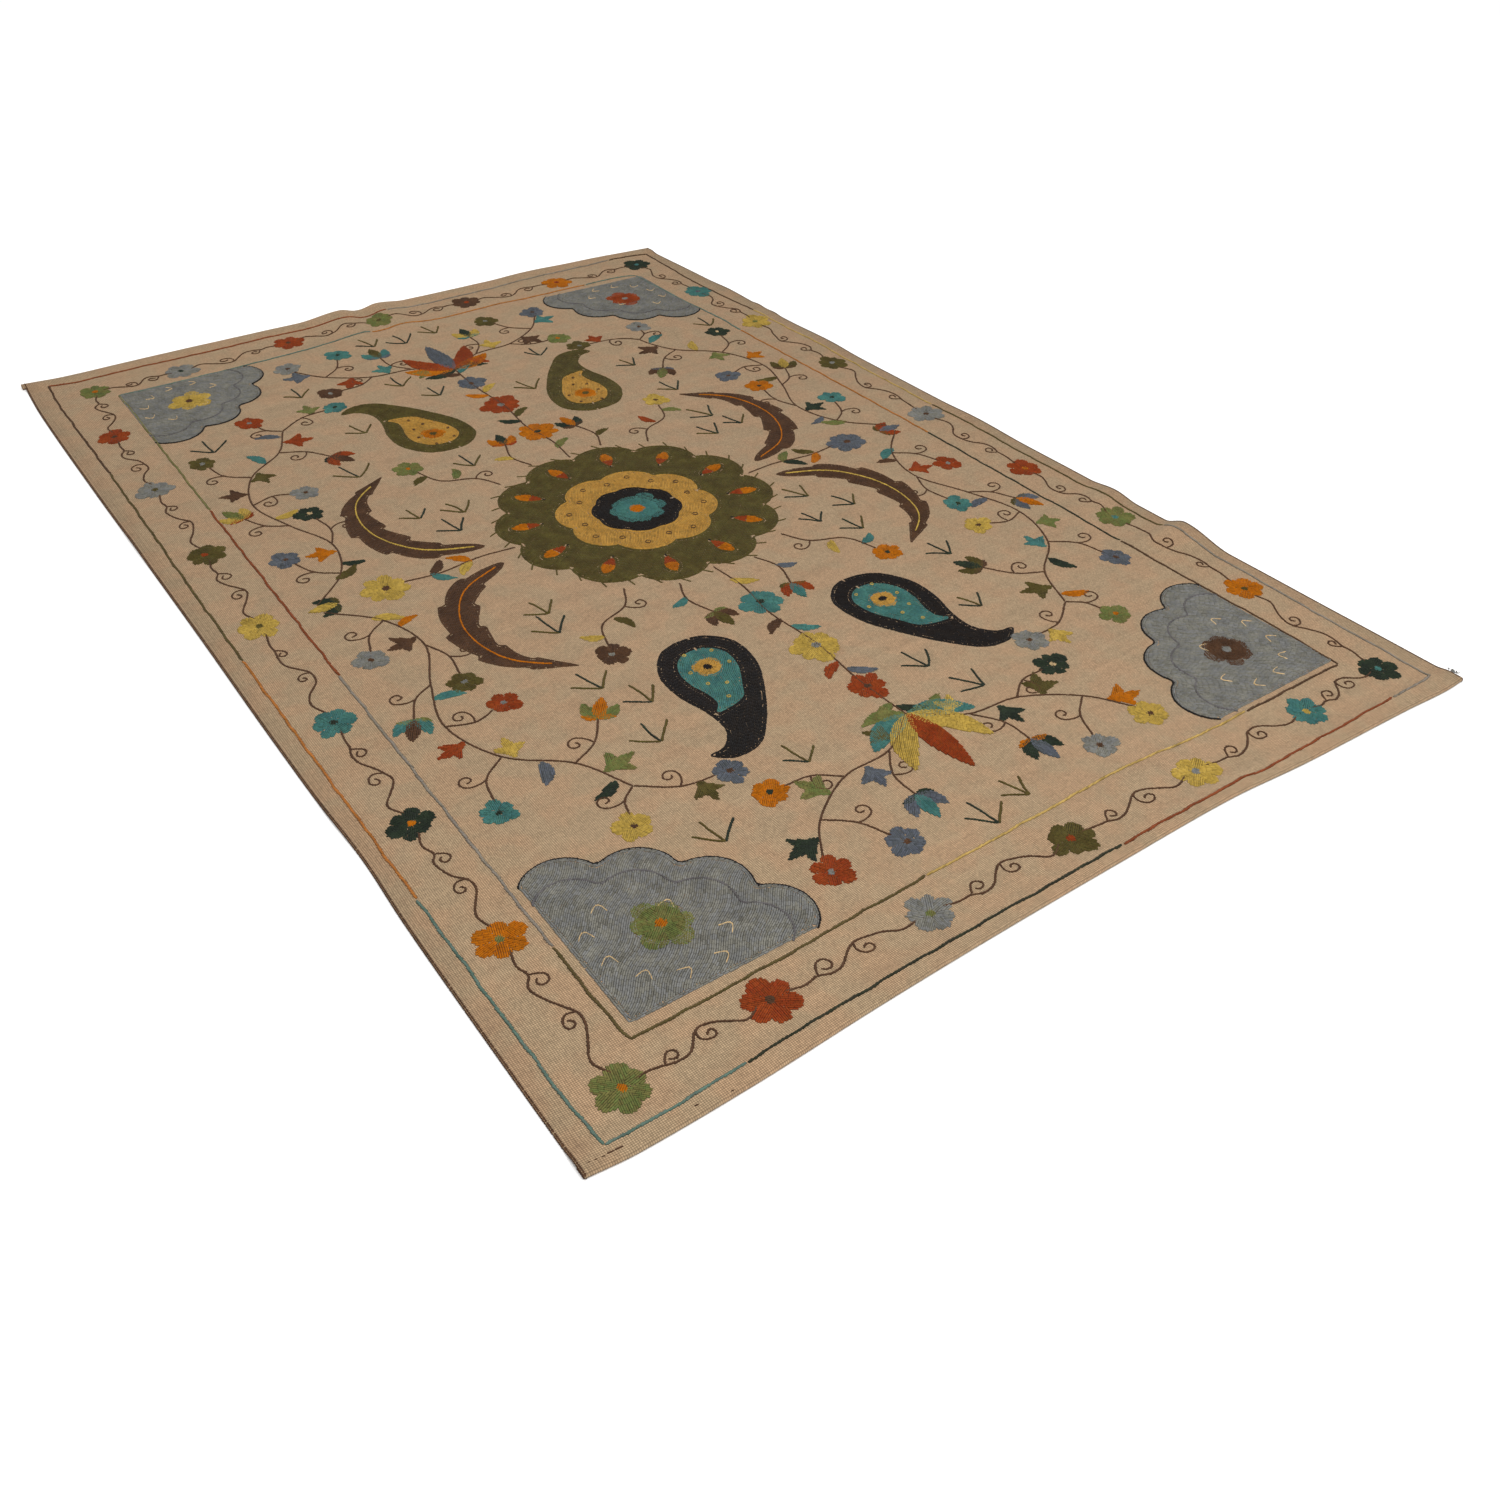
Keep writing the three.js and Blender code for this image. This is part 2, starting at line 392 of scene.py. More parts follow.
# A closed outline moved to its inner side, less the stretches that would cross over
def movedRing(ring, depth):
    way = np.roll(ring, -1, 0) - np.roll(ring, 1, 0)
    way /= np.maximum(np.hypot(*way.T), 1e-6)[:, None]
    moved = ring + leftOf(way) * depth * np.sign(ringArea(ring))
    gap = np.sqrt(((moved[:, None, :] - ring[None, :, :]) ** 2).sum(-1).min(1))
    return moved[gap > abs(depth) - 0.35]


# Rows of stitches that fill closed outlines; an outline inside another leaves a hole
def sewRows(yarn, rings, angle, stitch, lift=0.0):
    c, s = math.cos(angle), math.sin(angle)
    turn = np.array([[c, -s], [s, c]])
    phase = anyAngle()

    def bend(x):
        return stitch["wave"] * np.sin(x / stitch["waveLength"] * 2 * np.pi + phase)

    sides = []
    for ring in rings:
        p = ring @ turn
        p[:, 1] -= bend(p[:, 0])
        sides.append(np.hstack([p, np.roll(p, -1, 0)]))
    sides = np.vstack(sides)
    start, end = [], []
    pitch, ragged, overlap = stitch["pitch"], stitch["ragged"], handwork["overlap"]
    outer, first, jitter = handwork["rowEnd"], handwork["firstCut"], handwork["cut"]
    low, high = sides[:, 1].min(), sides[:, 1].max()
    count = max(1, round((high - low) / stitch["spacing"]))
    for k in range(count):
        y = low + (k + 0.5) * (high - low) / count + rng.normal(0, handwork["row"])
        met = sides[(sides[:, 1] <= y) != (sides[:, 3] <= y)]
        x = np.sort(met[:, 0] + (y - met[:, 1]) / (met[:, 3] - met[:, 1]) * (met[:, 2] - met[:, 0]))
        for a, b in zip(x[::2], x[1::2]):
            if b - a < handwork["shortest"]:
                continue
            a, b = a - rng.uniform(*outer) * ragged, b + rng.uniform(*outer) * ragged
            inner = np.arange(a + rng.uniform(*first) * pitch, b - first[0] * pitch, pitch)
            inner = inner + rng.uniform(-jitter, jitter, len(inner))
            cuts = np.concatenate([[a], inner, [b]])
            start += [(cut - overlap * (cut != a), y) for cut in cuts[:-1]]
            end += [(cut + overlap * (cut != b), y) for cut in cuts[1:]]
    if start:
        start, end = np.array(start), np.array(end)
        start[:, 1] += bend(start[:, 0])
        end[:, 1] += bend(end[:, 0])
        sew(yarn, start @ turn.T, end @ turn.T, stitch["width"], stitch["height"], lift)


rim = {
    "step": 1.6,  # between the points of an outline
    "inset": 0.45,  # of the first row round the rim, and how far the filling overlaps the last, in rows
    "overlap": 0.1,
    "shorter": 0.6,  # pitch and length of a rim's stitches against the filling's pitch
    "longer": 0.8,
    "slant": 0.3,
    "break": 4,  # a row stops where its path jumps this far
}


# A filled outline with rows of line stitches round its rim
def sewFill(yarn, rings, angle, stitch, borders, lift=0.0):
    rings = [evenSteps(ring, rim["step"], True) for ring in rings]
    outside = max(range(len(rings)), key=lambda k: abs(ringArea(rings[k])))
    pitch, spacing = stitch["pitch"], stitch["spacing"]
    edging = dict(stitch, pitch=pitch - rim["shorter"], length=pitch + rim["longer"], slant=rim["slant"])
    inner = []
    for k, ring in enumerate(rings):
        way = 1 if k == outside else -1
        for row in range(borders):
            path = movedRing(ring, way * spacing * (row + rim["inset"]))
            if len(path) < 4:
                continue
            breaks = np.where(np.hypot(*np.diff(path, axis=0).T) > rim["break"])[0] + 1
            for run in np.split(path, breaks):
                if len(run) > 2:
                    sewLine(yarn, run, edging, lift)
        shrunk = movedRing(ring, way * spacing * (borders - rim["overlap"])) if borders else ring
        if len(shrunk) > 3:
            inner.append(shrunk)
    if inner:
        sewRows(yarn, inner, angle, stitch, lift)


# Motifs

def polar(centre, angle, radius):
    angle, radius = np.broadcast_arrays(np.asarray(angle, float), np.asarray(radius, float))
    return np.stack([centre[0] + radius * np.cos(angle), centre[1] + radius * np.sin(angle)], -1)


def circle(centre, radius, count):
    return polar(centre, np.linspace(0, 2 * np.pi, count, endpoint=False), radius)


# One unit ahead in a heading, which is in radians from +x
def towards(heading):
    return np.array([math.cos(heading), math.sin(heading)])


flowerLook = {
    "gap": 0.16,  # unevenness of the gaps between petals, of their depth and of the petals' reach
    "notch": (0.82, 1.16),
    "reach": (0.84, 1.15),
    "overlap": 0.03,  # of neighbouring petals, in radians
    "foot": 0.85,  # where the petals begin and how wide the eye is sewn, in shares of its radius
    "eye": 1.12,
    "eyeLift": 0.15,
}


# A round flower of uneven petals, each filled along its own axis, with a small eye
def blossom(yarn, eye, centre, radius, petals=6, notch=0.62, turn=None, eyeShare=0.17, lift=0.0):
    turn = anyAngle() if turn is None else turn
    jitter, overlap = flowerLook["gap"], flowerLook["overlap"]
    gaps = np.arange(petals) + rng.uniform(-jitter, jitter, petals)
    gaps = np.sort(turn + gaps * 2 * np.pi / petals)
    gaps = np.append(gaps, gaps[0] + 2 * np.pi)
    deep = radius * notch * rng.uniform(*flowerLook["notch"], petals)
    deep = np.append(deep, deep[0])
    eyeRadius = radius * eyeShare
    for k in range(petals):
        t = np.linspace(0, 1, 15)
        reach = radius * rng.uniform(*flowerLook["reach"])
        base = deep[k] + (deep[k + 1] - deep[k]) * t
        edge = base + (reach - base) * np.sin(np.pi * t) ** 0.5
        angle = gaps[k] - overlap + (gaps[k + 1] - gaps[k] + 2 * overlap) * t
        foot = polar(centre, angle[::-1], eyeRadius * flowerLook["foot"])
        petal = np.vstack([polar(centre, angle, edge), foot])
        sewRows(yarn, [evenSteps(petal, 1.2, True)], (gaps[k] + gaps[k + 1]) / 2, petalStitch, lift)
    ring = circle(centre, eyeRadius * flowerLook["eye"], 12)
    sewRows(eye, [ring], rng.uniform(0, 3), dict(petalStitch, wave=0), lift + flowerLook["eyeLift"])


# Directions to the left of each point of a curve
def sidesOf(curve):
    way = np.gradient(curve, axis=0)
    return leftOf(way / np.hypot(*way.T)[:, None])


# A pointed leaf on a bent midline; teeth cut its sides
def leaf(yarn, points, width, teeth=0, blunt=0.85, stitch=petalStitch, borders=0, lift=0.0):
    curve = smoothCurve(points)
    t = np.linspace(0, 1, len(curve))
    half = width / 2 * np.sin(np.pi * t ** blunt) ** 0.8
    if teeth:
        half = half * (1 - 0.34 * ((t * teeth) % 1) ** 1.4)
    side = sidesOf(curve) * half[:, None]
    ring = np.vstack([curve + side, (curve - side)[::-1]])
    way = points[-1][0] - points[0][0], points[-1][1] - points[0][1]
    sewFill(yarn, [ring], math.atan2(way[1], way[0]), stitch, borders, lift)


# A leaf given by its foot, heading, length and width
def simpleLeaf(yarn, foot, heading, length, width, bow=0.12, lift=0.0):
    foot, ahead = np.asarray(foot, float), towards(heading)
    side = leftOf(ahead)
    points = [foot + ahead * length * t + side * length * bow * math.sin(math.pi * t) for t in (0, 0.5, 1)]
    leaf(yarn, points, width, lift=lift)


# A bud of three petals, with two small leaves under it
def bud(yarn, inside, foot, heading, size, green="olive"):
    for spread in (-1.35, 1.35):
        simpleLeaf(green, foot, heading + spread, size * 0.52, size * 0.2, 0.1)
    for spread, share, colour, lift in ((-0.62, 0.86, yarn, 0), (0.62, 0.86, yarn, 0), (0, 1, inside, 0.45)):
        bow = 0.1 * np.sign(spread)
        simpleLeaf(colour, foot, heading + spread, size * share, size * 0.42, bow, lift)


# Three blades that meet at one foot
def sprig(foot, heading, size):
    for spread, share in ((-0.78, 0.86), (0.05, 1.0), (0.76, 0.8)):
        angle = heading + spread + rng.normal(0, 0.07)
        tip = polar(foot, angle, size * share * rng.uniform(0.92, 1.1))
        middle = (foot + tip) / 2 + rng.normal(0, 1, 2)
        sewLine(rng.choice(["darkGreen", "olive"]), smoothCurve([foot, middle, tip]), bladeStitch)


# Three pointed lobes, as on an ivy leaf
def ivyLeaf(yarn, foot, heading, size):
    foot = np.asarray(foot, float)
    heart = polar(foot, heading, size * 0.3)
    simpleLeaf(yarn, foot, heading, size, size * 0.36, rng.uniform(-0.08, 0.08))
    for spread in (-1, 1):
        simpleLeaf(yarn, heart - (heart - foot) * 0.35, heading + spread * rng.uniform(0.8, 1.0), size * 0.62,
                   size * 0.27, -0.14 * spread)


# A brown curl that leaves a point with a heading and winds in, to the left for hand 1, to the right
# for -1
curlShape = [(0, 0), (5, 1), (12, 5), (17, 12), (14, 20), (6, 21), (3, 15), (7, 11), (11, 14)]


def curl(foot, heading, size, hand):
    ahead = towards(heading)
    side = leftOf(ahead) * hand
    path = [foot + (ahead * x + side * y) * size for x, y in curlShape]
    sewLine("brown", smoothCurve(path), curlStitch)


def stem(points):
    sewLine("brown", smoothCurve(points), vineStitch)


# A stem through three points; gives its heading at the end
def twig(start, through, end):
    stem([start, through, end])
    return math.atan2(end[1] - through[1], end[0] - through[0])


# A small ring of fine stitches on top of a filling
def sewRing(yarn, place, radius, corners, stitch):
    path = polar(place, np.linspace(0, 2 * np.pi, corners + 1), radius)
    sewLine(yarn, smoothCurve(path), stitch, 0.55)


# Border

borderFlowers = [  # anticlockwise from the far left corner: x, y, yarn, eye, petals
    (-524, 841, "lightGreen", "orange", 7),
    (-545, 651, "rust", "brown", 6),
    (-545, 439, "slate", "olive", 7),
    (-545, 213, "olive", "rust", 7),
    (-545, -1, "yellow", "olive", 6),
    (-545, -244, "turquoise", "darkGreen", 6),
    (-545, -457, "darkGreen", "orange", 6),
    (-545, -659, "orange", "lightGreen", 6),
    (-539, -876, "lightGreen", "orange", 6),
    (-377, -868, "rust", "brown", 6),
    (-183, -868, "slate", "lightGreen", 7),
    (10, -868, "olive", "rust", 7),
    (205, -868, "yellow", "slate", 6),
    (399, -868, "turquoise", "yellow", 7),
    (545, -862, "darkGreen", "turquoise", 6),
    (560, -648, "orange", "olive", 6),
    (563, -414, "lightGreen", "turquoise", 7),
    (563, -230, "rust", "orange", 6),
    (565, 1, "slate", "brown", 7),
    (566, 252, "olive", "slate", 7),
    (565, 483, "yellow", "lightGreen", 6),
    (562, 670, "turquoise", "blue", 6),
    (542, 866, "darkGreen", "turquoise", 6),
    (358, 865, "orange", "rust", 6),
    (165, 868, "brown", "rust", 7),
    (-9, 874, "lightGreen", "olive", 7),
    (-185, 865, "rust", "brown", 6),
    (-381, 846, "slate", "darkGreen", 6),
]
borderFlowerRadius = 26.8
borderWander = 0.75
# The vine between two flowers at this distance: along it and towards the rug's middle
vineLength = 200
vineTrunk = [(17, 1), (38, -4), (54, -2), (65, -8), (82, -5), (98, 6), (111, 14), (128, 13), (145, 4),
             (162, -4), (183, 1)]
vineCurls = [  # the point of the trunk where a curl leaves, and its path from there
    (2, [(0, 0), (7, 11), (14, 13), (20, 5), (13, 0), (8, 5)]),
    (6, [(0, 0), (-4, -9), (1, -18), (12, -19), (15, -12), (9, -8), (4, -13)]),
]
# The two lines of the border, side by side anticlockwise from the far left corner. Each side has
# its points and the yarns it changes to, with the place on its long axis where each one ends.
borderLines = [
    ([(-582, 904), (-586, 800), (-585, 500), (-588, 100), (-588, -300), (-586, -800), (-582, -919)],
     1, [("brown", 528), ("olive", -63), ("orange", -564), ("turquoise", -919)]),
    ([(-582, -919), (-500, -919), (-350, -912), (-140, -908), (210, -907), (280, -911), (584, -909)],
     0, [("turquoise", -437), ("darkGreen", 45), ("rust", 505), ("slate", 584)]),
    ([(584, -909), (590, -712), (595, -600), (597, -300), (597, 400), (594, 540), (587, 640), (586, 730),
      (592, 908)],
     1, [("slate", -474), ("olive", 24), ("yellow", 530), ("brown", 908)]),
    ([(592, 908), (511, 917), (322, 912), (100, 905), (-200, 908), (-300, 904), (-440, 902), (-540, 897),
      (-582, 904)],
     0, [("brown", 507), ("slate", 21), ("rust", -582)]),
    ([(-495, 804), (-495, 700), (-499, 320), (-504, -160), (-508, -640), (-508, -800), (-506, -835)],
     1, [("lightGreen", 334), ("rust", -160), ("slate", -697), ("olive", -835)]),
    ([(-506, -835), (-360, -833), (-180, -826), (0, -822), (150, -818), (260, -826), (513, -828)],
     0, [("olive", -151), ("yellow", 341), ("brown", 513)]),
    ([(513, -828), (518, -720), (517, -500), (519, -400), (523, 0), (521, 300), (518, 560), (513, 660),
      (508, 813)],
     1, [("brown", -466), ("darkGreen", -53), ("orange", 464), ("turquoise", 813)]),
    ([(508, 813), (467, 825), (298, 823), (200, 827), (100, 821), (20, 828), (-60, 827), (-128, 822),
      (-240, 812), (-440, 803), (-495, 804)],
     0, [("turquoise", 399), ("orange", -43), ("turquoise", -495)]),
]


# A drawn line as the hand follows it, with small wanderings to either side
def wandering(curve, amount):
    far = np.arange(len(curve)) * curveStep
    drift = sum(np.sin(far * 2 * np.pi / span + anyAngle()) for span in (27, 43, 71, 118)) / 2
    return curve + sidesOf(curve) * (drift * amount)[:, None]


def sewBorderLine(points, axis, changes):
    curve = wandering(smoothCurve(points), borderWander)
    way = np.sign(curve[-1, axis] - curve[0, axis])
    begin = curve[0, axis] - way
    for yarn, stop in changes:
        inside = ((curve[:, axis] - begin) * way > 0) & ((curve[:, axis] - stop) * way <= 0.8)
        sewLine(yarn, curve[inside], lineStitch)
        begin = stop


def sewVine(start, end):
    start, end = np.array(start[:2], float), np.array(end[:2], float)
    length = np.hypot(*(end - start))
    ahead = (end - start) / length
    inward = leftOf(ahead)

    def onRug(point):
        return start + ahead * point[0] + inward * point[1]

    trunk = np.array(vineTrunk, float)
    trunk[:, 0] *= length / vineLength
    trunk[1:-1] += rng.normal(0, 1.3, (len(trunk) - 2, 2))
    trunk[-3:-1, 1] += rng.uniform(-5, 3)
    stem([onRug(p) for p in trunk])
    for joint, shape in vineCurls:
        size = rng.uniform(0.88, 1.12)
        path = [onRug(trunk[joint] + np.array(p) * size + rng.normal(0, 0.5, 2)) for p in shape]
        sewLine("brown", smoothCurve(path), curlStitch)


def sewBorder():
    for points, axis, changes in borderLines:
        sewBorderLine(points, axis, changes)
    for flower, following in zip(borderFlowers, borderFlowers[1:] + borderFlowers[:1]):
        sewVine(flower, following)
        x, y, yarn, eye, petals = flower
        blossom(yarn, eye, (x, y), borderFlowerRadius * rng.uniform(0.95, 1.06), petals)


sewBorder()
print("border sewn")


# Field: a medallion with corner pieces, leaves, teardrops and flowering stems about two axes

field = {
    "x": 9, "y": -6,  # its middle
    "halfWidth": 508, "halfLength": 815,
    "sprigGap": 62,  # between sprigs, and the bare room that each one needs about it
    "sprigRoom": 34,
    "sprigHeading": 1.74,
}
medallion = {
    "radius": 206, "lobes": 12, "notch": 0.1,
    "gold": 118, "core": 66, "innerLobes": 8, "goldNotch": 0.12, "coreNotch": 0.08,
    "lozenge": (142, 166, 184),  # its foot, waist and tip, from the middle
    "lozengeHalf": 9.5,
    "lozengeMiddle": 160,  # where its two colours meet
    "spur": 136,
    "ticks": 36,
    "rings": ((0, 98), (0.39, 86)),  # turn and place of the rings on each inner lobe
    "flower": 44,
}
cornerPiece = {
    "radius": 236, "notch": 0.1, "inset": 2,
    "innerLine": 0.86,
    "flowerInset": 92, "flower": 34, "hole": 24,
    "ticks": [(150, 0.22), (150, 0.78), (60, 0.5), (118, 0.12),  # how far out, and share of the quarter
              (118, 0.88), (155, 0.5), (80, 0.2), (80, 0.8)],
}


# How far a rim of round lobes stands from its middle; notches part the lobes
def lobedReach(radius, turn, notch):
    return radius * (1 - notch + notch * np.abs(np.sin(turn)) ** 0.7)


def lobedRing(radius, lobes, notch):
    t = np.linspace(0, 2 * np.pi, lobes * 24, endpoint=False)
    return polar((0, 0), t, lobedReach(radius, lobes * t / 2, notch))


def sewMedallion():
    centre = (0, 0)
    radius, lobes, flower = medallion["radius"], medallion["lobes"], medallion["flower"]
    outside = lobedRing(radius, lobes, medallion["notch"])
    gold = lobedRing(medallion["gold"], medallion["innerLobes"], medallion["goldNotch"])
    core = lobedRing(medallion["core"], medallion["innerLobes"], medallion["coreNotch"])
    lozenges, meeting = [], medallion["lozengeMiddle"]
    for k in range(lobes):
        angle = (k + 0.5) * 2 * math.pi / lobes
        foot, waist, tip = (polar(centre, angle, far) for far in medallion["lozenge"])
        side = leftOf(towards(angle)) * medallion["lozengeHalf"]
        lozenges.append((angle, foot, smoothCurve([foot, waist + side, tip, waist - side], True)))
    sewFill("olive", [outside, gold] + [shape for _, _, shape in lozenges], 0.6, fillStitch, 2)
    for angle, foot, shape in lozenges:
        shape = evenSteps(shape, 1.2, True)
        far = shape @ towards(angle)
        sewRows("orange", [shape[far > meeting - 1]], angle, petalStitch)
        sewRows("rust", [shape[far <= meeting + 1]], angle, petalStitch)
        sewLine("black", np.array([foot, polar(centre, angle, medallion["spur"])]), curlStitch, 0.5)
    for k in range(medallion["ticks"]):
        angle = (k + 0.5) * 2 * math.pi / medallion["ticks"]
        reach = lobedReach(radius, lobes * angle / 2, medallion["notch"])
        tick = np.array([polar(centre, angle, reach - 2), polar(centre, angle + 0.05, reach + 11)])
        sewLine("olive", tick, curlStitch)
    sewFill("gold", [gold, core], 1.2, fillStitch, 2)
    fine = dict(curlStitch, width=1.7, pitch=2.6, length=4.5, slant=0.5)
    for k in range(medallion["innerLobes"]):
        for spread, far in medallion["rings"]:
            angle = (k + 0.5) * 2 * math.pi / medallion["innerLobes"] + spread
            sewRing("brown", polar(centre, angle, far), 4.2, 8, fine)
    sewFill("black", [core, circle(centre, flower * 0.7, 40)], 0.2, fillStitch, 2)
    blossom("turquoise", "orange", centre, flower, 8, 0.72, 0.2, 0.24)


# A corner piece: a lobed quarter, outlined, with small ticks and one flower
def sewCornerPiece(flower, eye):
    corner = np.array([field["halfWidth"], field["halfLength"]])
    t = np.linspace(0, 1, 70)
    angle = math.pi + t * math.pi / 2
    reach = lobedReach(cornerPiece["radius"], 4 * np.pi * t, cornerPiece["notch"])
    arc = polar(corner, angle, reach)
    inset = corner - cornerPiece["inset"]
    ring = np.vstack([arc, [[inset[0], arc[-1, 1]], inset, [arc[0, 0], inset[1]]]])
    place = corner - cornerPiece["flowerInset"]
    sewFill("slate", [ring, circle(place, cornerPiece["hole"], 30)], 0.75, fillStitch, 2)
    sewLine("black", evenSteps(arc), vineStitch, 0.3)
    inner = polar(corner, angle, reach * cornerPiece["innerLine"])
    sewLine("blue", evenSteps(inner), dict(lineStitch, width=3.2), 0.3)
    blossom(flower, eye, place, cornerPiece["flower"], 6, lift=0.4)
    for far, spread in cornerPiece["ticks"]:
        heading = math.pi + spread * math.pi / 2
        middle = polar(corner, heading, far)
        path = [polar(middle, heading + a, 9) for a in (-1.9, 0, 1.9)]
        sewLine("cream", smoothCurve(path), dict(curlStitch, width=1.6, height=0.8, slant=0.4), 0.6)


teardropShape = [(0, -100), (38, -84), (56, -42), (50, 2), (33, 40), (26, 74), (38, 100), (58, 108),
                 (34, 121), (2, 110), (-20, 76), (-38, 34), (-54, -22), (-50, -70), (-28, -94)]
teardropDots = [(0, 22), (-8, -2), (12, -8), (22, -34), (-26, -38), (-16, -66), (16, -68)]


def sewTeardrop(foot, turn, size, outer, inner, tip, dots):
    c, s = math.cos(turn), math.sin(turn)
    shape = np.array(teardropShape, float) * size

    def put(points):
        return foot + np.atleast_2d(points) @ np.array([[c, s], [-s, c]])

    ring = smoothCurve(shape, True)
    heart = np.array([0, -38 * size])
    shorter = np.array(teardropShape[:7] + teardropShape[10:], float) * size
    inside = smoothCurve((shorter - heart) * 0.6 + heart, True)
    sewFill(outer, [put(ring), put(inside)], turn + 1.2, fillStitch, 2)
    sewFill(inner, [put(inside), put(circle(heart, 15 * size, 24))], turn + 1.4, fillStitch, 1)
    blossom(tip, outer, put(heart)[0], 17 * size, 6, 0.75, eyeShare=0.3)
    fine = dict(curlStitch, width=1.6, pitch=2.2, length=3.6, slant=0.4)
    for dot in teardropDots:
        sewRing(dots, put(np.array(dot) * size)[0], 2.6, 6, fine)


flowerYarns = [("rust", "slate"), ("turquoise", "darkGreen"), ("orange", "darkGreen"), ("yellow", "brown"),
               ("blue", "brown"), ("darkGreen", "cream"), ("lightGreen", "orange"), ("slate", "brown"),
               ("olive", "slate"), ("brown", "slate")]
leafYarns = ["lightGreen", "darkGreen", "olive", "orange", "yellow", "brown", "turquoise", "rust", "blue"]


# One quarter of the field, right of its long axis and above its short one
def sewQuarter(quarter):
    def flower(k):
        return flowerYarns[(k + 3 * quarter) % len(flowerYarns)]

    def leafYarn(k):
        return leafYarns[(k + 2 * quarter) % len(leafYarns)]

    sewCornerPiece(*flower(0))
    dyes = ("olive", "gold", "orange", "brown") if quarter < 2 else ("black", "turquoise", "gold", "yellow")
    sewTeardrop((146, 430), -0.2, 1.1, *dyes)
    blade = [(228, 26), (306, 66), (344, 146), (330, 236), (262, 300)]
    leaf("brown", blade, 56, 6, 0.8, fillStitch, 1)
    sewLine(("orange", "yellow")[quarter % 2], smoothCurve(blade)[10:-24], vineStitch, 0.5)

    # A scrolling stem beside the long edge, with twigs, flowers and leaves on both sides
    scroll = [(476, 10), (420, 70), (400, 150), (430, 232), (452, 318), (424, 404), (362, 460), (330, 530)]
    stem(scroll)
    twigs = [  # from, through, to
        ((420, 70), (448, 92), (462, 128)),
        ((400, 150), (386, 190), (392, 232)),
        ((430, 232), (458, 250), (476, 286)),
        ((452, 318), (420, 330), (392, 320)),
        ((424, 404), (456, 430), (466, 470)),
        ((362, 460), (326, 440), (300, 404)),
        ((330, 530), (350, 546), (358, 570)),
        ((330, 530), (288, 560), (246, 566)),
    ]
    for k, (start, through, end) in enumerate(twigs):
        heading = twig(start, through, end)
        if k % 3 == 2:
            yarn, inside = leafYarn(k), flower(k + 1)[0]
            bud(yarn, inside, end, heading, 42, leafYarn(k + 3))
        else:
            blossom(*flower(k + 1), polar(end, heading, 18), 22, 5 + k % 3)
        hand = 1 if k % 2 else -1
        curl(through, heading + 0.7 * hand, 1.25, hand)
    leaves = [  # foot, heading, length
        (432, 58, 2.6, 44), (402, 128, 0.2, 38), (441, 262, 2.9, 40), (446, 356, 0.3, 36),
        (392, 436, 1.2, 44), (344, 492, 3.4, 42), (340, 512, 0.4, 40), (268, 562, 1.6, 36),
        (410, 94, 3.5, 34), (412, 414, 4.6, 36),
    ]
    for k, (x, y, heading, length) in enumerate(leaves):
        if k % 2:
            ivyLeaf(leafYarn(k), (x, y), heading, length * 1.15)
        else:
            simpleLeaf(leafYarn(k), (x, y), heading, length, length * 0.36, 0.1)

    # Stems from the long axis towards the short edge
    arch = [(0, 598), (60, 640), (130, 648), (196, 690), (232, 742)]
    stem(arch)
    twigs = [
        ((130, 648), (160, 626), (196, 624)),
        ((60, 640), (84, 676), (86, 716)),
        ((196, 690), (166, 716), (150, 752)),
    ]
    for k, (start, through, end) in enumerate(twigs):
        heading = twig(start, through, end)
        if k == 1:
            bud(leafYarn(4), flower(5)[0], end, heading, 44, leafYarn(6))
        else:
            blossom(*flower(6 + k), polar(end, heading, 18), 23, 6)
        curl(through, heading + 0.8, 1.2, 1)
    blossom(*flower(4), (236, 760), 24, 6)
    leaves = [(100, 646, 1.5, 36), (160, 664, 5.2, 40), (214, 712, 0.2, 40), (40, 628, 5.4, 34)]
    for k, (x, y, heading, length) in enumerate(leaves):
        ivyLeaf(leafYarn(k + 4), (x, y), heading, length * 1.2)

    # Small stems between the medallion and the teardrop
    stem([(128, 176), (150, 214), (196, 236), (214, 282)])
    blossom(*flower(3), (220, 300), 22, 6)
    stem([(60, 206), (74, 246), (62, 290)])
    bud(leafYarn(1), flower(2)[0], (62, 290), 1.7, 40, leafYarn(5))
    curl((150, 214), 1.9, 1.2, 1)
    simpleLeaf(leafYarn(7), (176, 230), 1.9, 36, 13)
    simpleLeaf(leafYarn(2), (72, 240), 0.4, 32, 12)
    simpleLeaf(leafYarn(0), (206, 262), 5.7, 34, 13)


# What lies on the long axis, once for each half
def sewAxis(half):
    first, second, third, fourth = (
        ("orange", "rust", "blue", "darkGreen"),
        ("turquoise", "yellow", "rust", "lightGreen"),
    )[half]
    stem([(0, 196), (5, 260), (-4, 330), (3, 420), (-3, 520), (0, 600)])
    for k, (y, way) in enumerate(((236, 1), (352, -1), (372, 1), (470, -1), (486, 1), (572, -1), (580, 1))):
        simpleLeaf(leafYarns[(k + 4 * half) % len(leafYarns)], (0, y), math.pi / 2 - way * 0.95, 40, 14, 0.1)
    blossom(first, "darkGreen", (2, 304), 30, 7)
    blossom(second, "slate", (0, 426), 34, 8, 0.7)
    blossom(third, "brown", (-2, 530), 26, 6)
    foot = (0, 600)
    for spread in (-1.75, 1.75):
        simpleLeaf(fourth, foot, math.pi / 2 + spread, 60, 20, 0.15)
    fan = [
        (-1.15, 84, first, 0), (1.15, 84, first, 0),
        (-0.6, 104, second, 0.5), (0.6, 104, second, 0.5),
        (0, 116, third, 1),
    ]
    for spread, length, yarn, lift in fan:
        simpleLeaf(yarn, foot, math.pi / 2 + spread, length, 32, 0.08 * np.sign(spread), lift)


